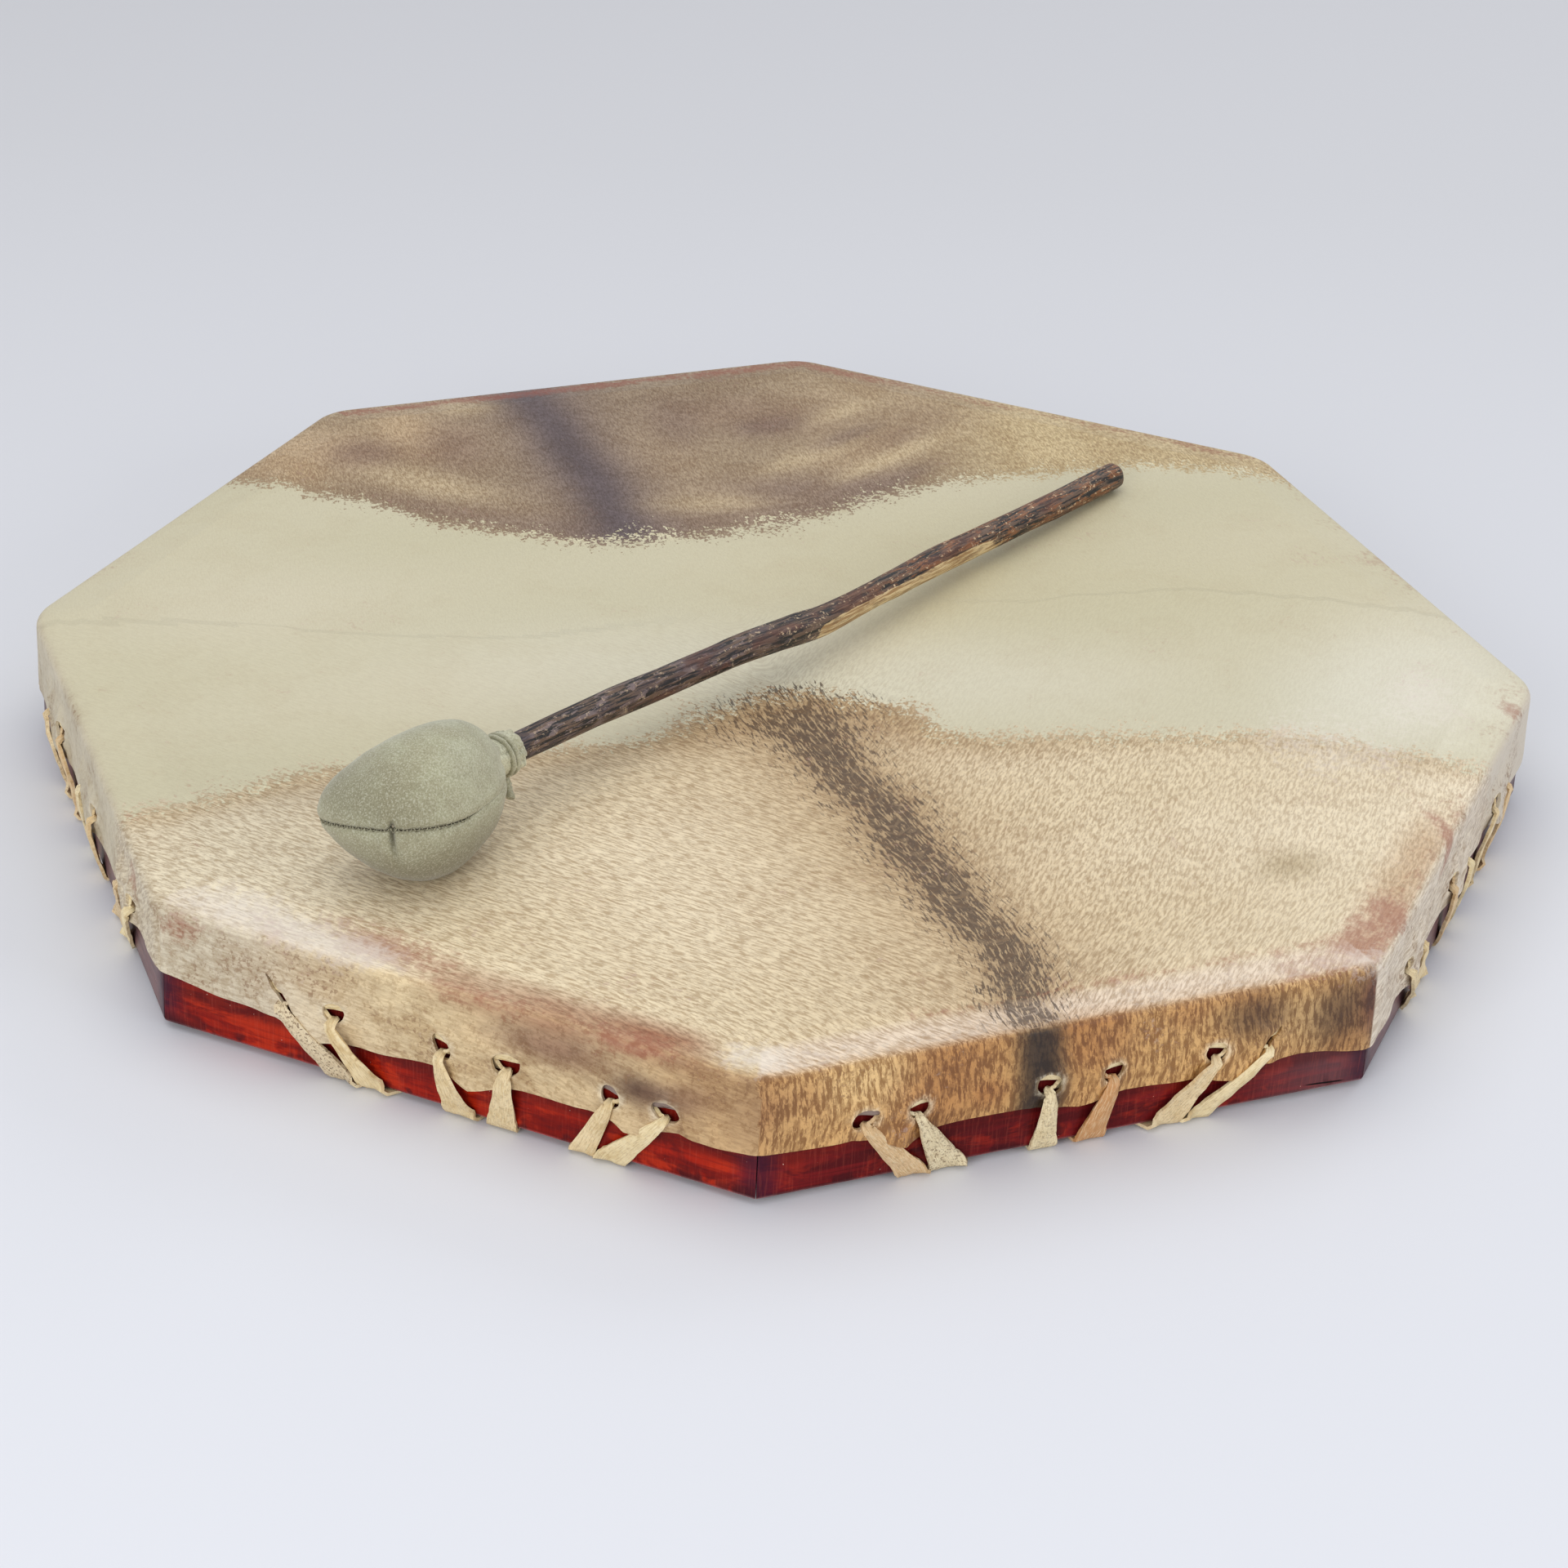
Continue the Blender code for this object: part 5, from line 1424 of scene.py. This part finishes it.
def suede_finish(name, upper, lower):
    finish = Finish(name, IOR=1.45, Sheen_Weight=0.25, Sheen_Roughness=0.5)
    place = finish.place()
    nap = finish.noise(place, 1700, 3.0, 0.7)
    brushed = finish.noise(place, 90, 4.0, 0.62, 0.25)
    patch = finish.noise(place, 32, 3.0, 0.6)
    dirt = finish.noise(place, 260, 4.0, 0.7)
    tone = finish.layers(
        finish.mix(brushed.step(0.36, 0.64), shade(*lower), shade(*upper)),
        (patch.step(0.46, 0.64) * 0.14, shade(198, 200, 178)),
        # Painted shade on the underside and left end of the head, and a little on the collar and thong
        (finish.attribute("under") * 0.82, shade(114, 107, 80)),
        (dirt.step(0.50, 0.66) * 0.18, shade(126, 120, 92)),
        (nap.step(0.52, 0.62) * 0.30, shade(222, 222, 206)),
        ((1 - nap).step(0.50, 0.62) * 0.30, shade(98, 94, 72)),
        # Painted shade in the seam's groove, the tuck and the collar's folds
        (finish.attribute("crease") * 0.8, shade(66, 60, 42)))
    rough = 0.86 + (brushed - 0.5) * 0.18
    return finish.wear(tone, (nap * 0.6 + brushed * 0.2 + dirt * 0.3, 0.00025, 0.5),
                       Roughness=rough.clamped())


def make_cover(name, half, node, finish):
    columns, rows = 420, 44
    cover, column, row = stacked_loops(name, columns, rows)
    turn = 2 * math.pi * column / columns
    start = 0.008 - 0.006 * plain_seam(turn)
    latitude = half * (start + (math.pi / 2 - 0.03 - start) * (row / (rows - 1)) ** 1.5)
    points = cover_surface(turn, latitude, half)
    # Room for the stick's neck
    neck_x, neck = 0.0310, 0.0061
    middle = middle_at(neck_x, stick_line(200)[0])
    off = points[:, 1:] - middle
    far = np.linalg.norm(off, axis=1)
    tight = (points[:, 0] > 0.015) & (far < neck)
    off = np.where(tight[:, None], off / np.maximum(far, 1e-6)[:, None] * neck, off)
    points = np.hstack([points[:, :1], middle + off])
    set_points(cover, beater_to_drum(points))
    close_row(cover, row, rows - 1)

    x, y, z = points.T
    # Painted shade: darker towards the bottom of each cover, less on the upper one, and at the head's left
    # end
    under = smooth(-z - y * 0.12, -0.004, 0.016) * (0.5 if half > 0 else 1.0)
    under = np.clip(under + 0.75 * smooth(-x, 0.006, 0.028) * smooth(z, -0.002, 0.010), 0, 1)
    depth = np.abs(latitude) * HEAD_MEAN
    # Painted shade in the tuck by the pucker and along the seam's groove, less where the seam is sewn from
    # inside
    tuck = tuck_at(half_turn_either_way(turn - PUCKER), depth, half) ** 1.5 * (1.0 if half < 0 else 0.4)
    crease = np.maximum(tuck, 0.24 * bell(depth, 0.0006) * (1 - 0.8 * plain_seam(turn)))
    store(cover, under=under, crease=crease)
    modify(cover, "SOLIDIFY", thickness=COVER - 0.0001, offset=-1.0)
    return settle(cover, finish, "beater", "suede", node, smooth=60)


def make_padding():
    finish = Finish("wadding", IOR=1.4)
    fibre = finish.streaks(finish.place(), (900, 300, 500), 5.0, 0.7, 1.5)
    tone = finish.mix(fibre.step(0.3, 0.7), shade(150, 136, 112), shade(206, 196, 172))
    finish.wear(tone, (fibre, 0.0003, 0.6), Roughness=(0.9 + (fibre - 0.5) * 0.1).clamped())
    ball = add(bpy.ops.mesh.primitive_uv_sphere_add, "head_stuffing", segments=64, ring_count=40, radius=1.0)
    direction = points_of(ball)[:, [2, 0, 1]]
    points = head_shape(direction, COVER + 0.0012)
    x = points[:, 0]
    # The stuffing is hollowed back along the stick that stands in it
    line, girth = stick_line(200)
    middle = middle_at(x, line)
    reach = STICK_RADIUS * np.interp(x, line[:, 0], girth) + 0.0006
    off = points[:, 1:] - middle
    far = np.linalg.norm(off, axis=1)
    inside = (x > 0) & (far < reach * 1.25)
    core = far < reach * 0.6
    push = np.where(inside & ~core, reach * 1.06 / np.maximum(far, 1e-6), 1.0)
    points = np.column_stack([np.where(inside & core, np.minimum(x, STICK_START - 0.0008), x),
                              middle + off * push[:, None]])
    points += direction * (0.0003 * ripple(points, 0.012, 77))[:, None]
    set_points(ball, beater_to_drum(points))
    edit(ball, outward_faces)
    settle(ball, finish.material, "beater", "wadding", "beater_padding", smooth=60)


def make_stitches():
    """Short dark stitches that cross the seam, leaning to and fro. One is modelled and copied round."""
    finish = Finish("dark_thread", IOR=1.45)
    twist = finish.noise(finish.place(), 2500, 2.0, 0.6)
    tone = finish.mix(twist.step(0.35, 0.65), shade(82, 76, 56), shade(172, 168, 142))
    finish.wear(tone, (twist, 0.0001, 0.6), Roughness=(0.8 + (twist - 0.5) * 0.2).clamped())
    one = add(bpy.ops.mesh.primitive_cylinder_add, "one_stitch", vertices=8, radius=0.00016, depth=0.0017)
    subdivide(one, 1)
    u, v, w = points_of(one).T
    arch = 0.0003 * (1 - (w / 0.0009) ** 2) - 0.00038
    copies = []
    for i in range(STITCHES):
        turn = 2 * math.pi * (i + 0.5) / STITCHES
        if plain_seam(turn) > 0.4 or math.cos(turn) > 0.86:
            continue
        base, next_one = (head_shape(seam_direction(np.array([t]), np.zeros(1)))[0]
                          for t in (turn, turn + 0.01))
        direction = seam_direction(np.array([turn]), np.zeros(1))[0]
        ahead = unit(next_one - base)
        out = unit(np.cross(ahead, SEAM_NORMAL))
        out *= np.sign(out @ direction)
        lean = 0.55 if i % 2 else -0.55
        line = np.cross(out, ahead) * math.cos(lean) + ahead * math.sin(lean)
        copy = one.copy()
        copy.data = one.data.copy()
        bpy.context.scene.collection.objects.link(copy)
        placed = base + np.outer(w, line) + np.outer(u, np.cross(line, out)) + np.outer(v + arch, out)
        set_points(copy, beater_to_drum(placed))
        copies.append(copy)
    bpy.data.objects.remove(one, do_unlink=True)
    stitches = join(*copies)
    stitches.name = stitches.data.name = "seam_stitches"
    settle(stitches, finish.material, "beater", "suede", smooth=60)


COLLAR_START = 0.0306
COLLAR_LENGTH = 0.0172
COLLAR_COLUMNS = 110


def collar_ridges(angle, share):
    """The collar's main folds, as a wave."""
    return np.abs(np.cos(4.5 * angle + 4 * share + 0.6 * np.sin(9 * share)))


def collar_folds(angle, share):
    loose = np.interp(share, [0, 0.15, 0.5, 0.85, 1.0], [0.5, 0.9, 0.4, 1.3, 1.0])
    ridge = collar_ridges(angle, share) ** 0.7 - 0.6
    return 1 + loose * (0.10 * ridge + 0.035 * np.cos(12 * angle - 6 * share + 1)
                        + 0.035 * np.cos(3 * angle + 18 * share) + 0.015 * np.cos(21 * angle + 9 * share))


def make_collar(finish):
    """The suede gathered round the stick's neck in folds, drawn in at its waist."""
    rows = 40
    share = np.arange(rows) / (rows - 1)
    x = COLLAR_START + COLLAR_LENGTH * share
    path = np.column_stack([x, middle_at(x, stick_line(400)[0])])
    profile = np.interp(share, [0, 0.12, 0.30, 0.50, 0.66, 0.84, 0.95, 1.0],
                        [0.0076, 0.0073, 0.0067, 0.0065, 0.0069, 0.0072, 0.0066, 0.0056])
    collar = tube("neck_collar", beater_to_drum(path), profile, COLLAR_COLUMNS, ends=False,
                  shape=collar_folds)
    modify(collar, "SOLIDIFY", thickness=0.0010, offset=-1.0)
    edit(collar, outward_faces)
    number = np.arange(len(collar.data.vertices))
    angle = number // rows * 2 * math.pi / COLLAR_COLUMNS
    valley = 1 - collar_ridges(angle, share[number % rows])
    # Painted shade: a little all over the collar, and more in the valleys between its folds
    store(collar, under=0.15, crease=np.clip(valley ** 3 * 0.6, 0, 1))
    settle(collar, finish, "beater", "suede", "beater_collar", smooth=70)


THONG_START = 0.0388
THONG_PITCH = 0.0021
THONG_REACH = 0.0071


def make_thong(finish):
    """The thong that ties the collar. Its end hangs down by the head and is cut wider."""
    per_turn, turns = 26, 2
    i = np.arange(per_turn * turns + 1)
    angle = 2 * math.pi * i / per_turn - math.pi / 2
    x = THONG_START + THONG_PITCH * i / per_turn
    around = np.stack([np.zeros_like(angle), np.cos(angle), np.sin(angle)], 1)
    path = np.column_stack([x, middle_at(x, stick_line(400)[0])]) + around * THONG_REACH
    hang = np.linspace(0, 1, 22)[1:, None]
    path = np.vstack([path, path[-1] + hang * np.array([-0.0012, -0.0045, -0.0075])
                      + 0.0004 * np.sin(hang * 30) * np.array([1.0, 0.3, 0.0])])

    def girth(angle, share):
        end = smooth(share, 0.72, 0.78) * (0.7 + 0.25 * np.cos(140 * share))
        return 1 + 0.10 * np.cos(2 * angle + 40 * share) + end

    thong = tube("neck_thong", beater_to_drum(path), 0.0008, 12, shape=girth)
    # The thong is painted a little shaded all over
    store(thong, under=0.35, crease=0.12)
    settle(thong, finish, "beater", "suede", "beater_thong", smooth=60)


def bark_finish():
    finish = Finish("branch_bark", IOR=1.5, Coat_Roughness=0.35)
    uv, run, bare = finish.map("bark"), finish.attribute("run"), finish.attribute("bare")
    fibre = finish.streaks(uv, (58, 720, 1), 5.0, 0.68, 0.3)
    flake = finish.streaks(uv, (90, 480, 1), 4.0, 0.7, 0.5)
    lichen = finish.noise(finish.place(), 520, 4.0, 0.72)
    broad = finish.streaks(uv, (24, 60, 1))
    near_head = 1 - run.step(0.13, 0.22)
    bark = finish.layers(
        finish.mix(fibre.step(0.47, 0.54), shade(10, 7, 7), shade(100, 78, 62)),
        # Painted silvery highlights on the glossy bark near the head
        (near_head * flake.step(0.53, 0.57) * 0.65, shade(136, 118, 116)),
        (near_head * broad.step(0.48, 0.56) * 0.5, shade(58, 48, 58)),
        (run.step(0.20, 0.27) * flake.step(0.50, 0.56) * 0.62, shade(150, 92, 46)),
        ((1 - fibre).step(0.50, 0.60) * (1 - flake).step(0.46, 0.56) * 0.9, shade(12, 8, 8)),
        (lichen.step(0.56, 0.62) * flake.step(0.46, 0.54) * (run.step(0.14, 0.20) * 0.4 + 0.4),
         shade(224, 198, 162)),
        (broad.step(0.52, 0.60) * run.step(0.08, 0.13) * 0.35, shade(116, 62, 34)))
    wood = finish.layers(finish.mix(fibre.step(0.42, 0.58), shade(160, 124, 80), shade(218, 194, 148)),
                         ((1 - flake).step(0.52, 0.60) * 0.5, shade(104, 74, 48)))
    tone = finish.mix((bare + (flake - 0.5) * 0.9).step(0.45, 0.55), bark, wood)
    height = fibre * 0.8 + flake * 0.9 + lichen * 0.3 - bare * 0.4
    rough = 0.50 + (lichen - 0.5) * 0.5 - bare * 0.08
    return finish.wear(tone, (height, 0.00045, 0.9), Roughness=rough.clamped())


# Knots of the stick: place along it, turn, size and length
KNOTS = ((0.176, 2.2, 0.07, 0.008), (0.192, 4.0, 0.08, 0.007), (0.247, 1.2, 0.05, 0.006),
         (0.300, 3.4, 0.05, 0.007), (0.118, 5.0, 0.05, 0.006), (0.352, 0.5, 0.05, 0.005))
STICK_ROUND = 0.0046        # the far end is rounded over this length


def stick_lumps(angle, share):
    x = STICK_START + (STICK_END - STICK_START) * share
    bump = 0.03 * np.cos(3 * angle + 30 * share) + 0.02 * np.cos(5 * angle - 22 * share + 1) \
        + 0.012 * np.cos(9 * angle + 55 * share)
    for at, turn, size, length in KNOTS:
        bump += size * bell(x - at, length) * bell(half_turn_either_way(angle - turn), 0.6)
    return (1 + bump * smooth(x, 0.040, 0.060)) * 0.97


def make_stick():
    rows, columns = 260, 40
    line, girth = stick_line(rows)
    rounding = np.clip((line[:, 0] - (STICK_END - STICK_ROUND)) / STICK_ROUND, 0, 1)
    end = np.sqrt(np.clip(1 - rounding ** 2.2, 0.03, 1))
    stick = tube("branch_stick", beater_to_drum(line), STICK_RADIUS * girth * end, columns, shape=stick_lumps)
    points = points_of(stick)
    x, y = turned(points[:, 0] - BEATER_PLACE[0], points[:, 1] - BEATER_PLACE[1], -BEATER_HEADING)
    middle = middle_at(x, line)
    round_at = np.arctan2(points[:, 2] - HEAD_Z - middle[:, 1], y - middle[:, 0])
    # A strip on the camera's side has lost its bark
    facing = np.cos(round_at - math.atan2(-0.62, -0.78))
    strip = smooth(x, 0.186, 0.206) * (1 - smooth(x, 0.285, 0.335))
    bare = smooth(facing + 0.25 * strip, 0.50, 0.95) * strip
    store(stick, run=x, bare=np.clip(bare, 0, 1))
    # No face spans the map's seam
    loops, starts = loops_of(stick)
    round_uv = round_at[loops]
    first = np.repeat(round_uv[starts], np.diff(np.append(starts, len(loops))))
    round_uv = first + half_turn_either_way(round_uv - first)
    store_map(stick, "bark", np.stack([x[loops], round_uv * STICK_RADIUS], 1))
    settle(stick, bark_finish(), "beater", "bark", "beater_stick", smooth=60)


def make_beater():
    suede = suede_finish("suede_cover", (173, 172, 143), (161, 157, 128))
    collar_suede = suede_finish("suede_collar", (220, 219, 190), (188, 184, 152))
    upper = make_cover("head_cover_upper", 1, "beater_cover_upper", suede)
    lower = make_cover("head_cover_lower", -1, "beater_cover_lower", suede)
    make_padding()
    make_stitches()
    make_collar(collar_suede)
    make_thong(collar_suede)
    make_stick()


# The camera, the floor and the light

def make_camera():
    data = bpy.data.cameras.new("camera")
    data.lens, data.sensor_width, data.clip_start = 77.633, 36.0, 0.02
    camera = bpy.data.objects.new("camera", data)
    camera.location = (0.00246, -1.09546, 0.61948)
    camera.rotation_euler = [math.radians(a) for a in (60.1000865, -2.44796138, 1.41100538)]
    bpy.context.scene.collection.objects.link(camera)
    bpy.context.scene.camera = camera


def make_floor():
    finish = Finish("pale_floor", Roughness=0.75)
    place = finish.place()
    _, y, _ = finish.parts(place)
    grain = finish.noise(place, 60, 3.0, 0.5)
    # Painted light falloff: the floor's colour darkens away from the camera
    tone = finish.ramp((y + 1.0) / 3.0 + (grain - 0.5) * 0.004, (0.0, shade(232, 235, 242)),
                       (0.30, shade(221, 223, 229)), (0.55, shade(209, 210, 214)),
                       (1.0, shade(201, 201, 205)))
    finish.wear(tone, (grain, 0.00002, 0.2))
    floor = add(bpy.ops.mesh.primitive_plane_add, "studio_floor", size=14, location=(0, 0, -0.0005))
    subdivide(floor, 7)
    floor.data.materials.append(finish.material)


def lamp(name, place, toward, size, power, tint):
    data = bpy.data.lights.new(name, "AREA")
    data.shape, data.size, data.size_y, data.energy, data.color = "RECTANGLE", size[0], size[1], power, tint
    made = bpy.data.objects.new(name, data)
    made.location = place
    made.rotation_euler = (Vector(toward) - Vector(place)).to_track_quat("-Z", "Y").to_euler()
    bpy.context.scene.collection.objects.link(made)


def make_light():
    world = bpy.data.worlds.new("studio")
    world.use_nodes = True
    sky = world.node_tree.nodes["Background"]
    sky.inputs["Color"].default_value = (0.93, 0.95, 1.0, 1.0)
    sky.inputs["Strength"].default_value = 0.60
    bpy.context.scene.world = world
    lamp("overhead", (-0.35, 0.15, 2.2), (0, 0, 0), (2.6, 2.6), 17, (1.0, 0.985, 0.96))
    lamp("front_left", (-1.0, -2.1, 1.0), (0, -0.1, 0.03), (1.2, 1.0), 19, (1.0, 0.975, 0.94))
    lamp("front_right", (2.0, -1.2, 0.9), (0, -0.1, 0.03), (1.0, 1.0), 11, (1.0, 0.98, 0.95))
    lamp("back_right", (1.3, 1.7, 1.5), (0.1, 0, 0.03), (1.3, 0.8), 8, (0.96, 0.98, 1.0))
    bpy.context.scene.view_settings.view_transform = "Standard"
    bpy.context.scene.view_settings.look = "None"


def main():
    make_camera()
    make_floor()
    make_light()
    boards, lace = wood_finish(), lace_finish()
    for k in range(8):
        board = bpy.data.objects[f"frame_board_{k + 1}"]
        board.data.materials.clear()
        board.data.materials.append(boards)
    make_head(hide_finish())
    for k in range(8):
        for pair, slot in enumerate((-1, 0, 1)):
            make_lace(3 * k + pair + 1, k, pair, slot, lace)
    make_bindings(lace)
    make_ring()
    make_beater()


main()
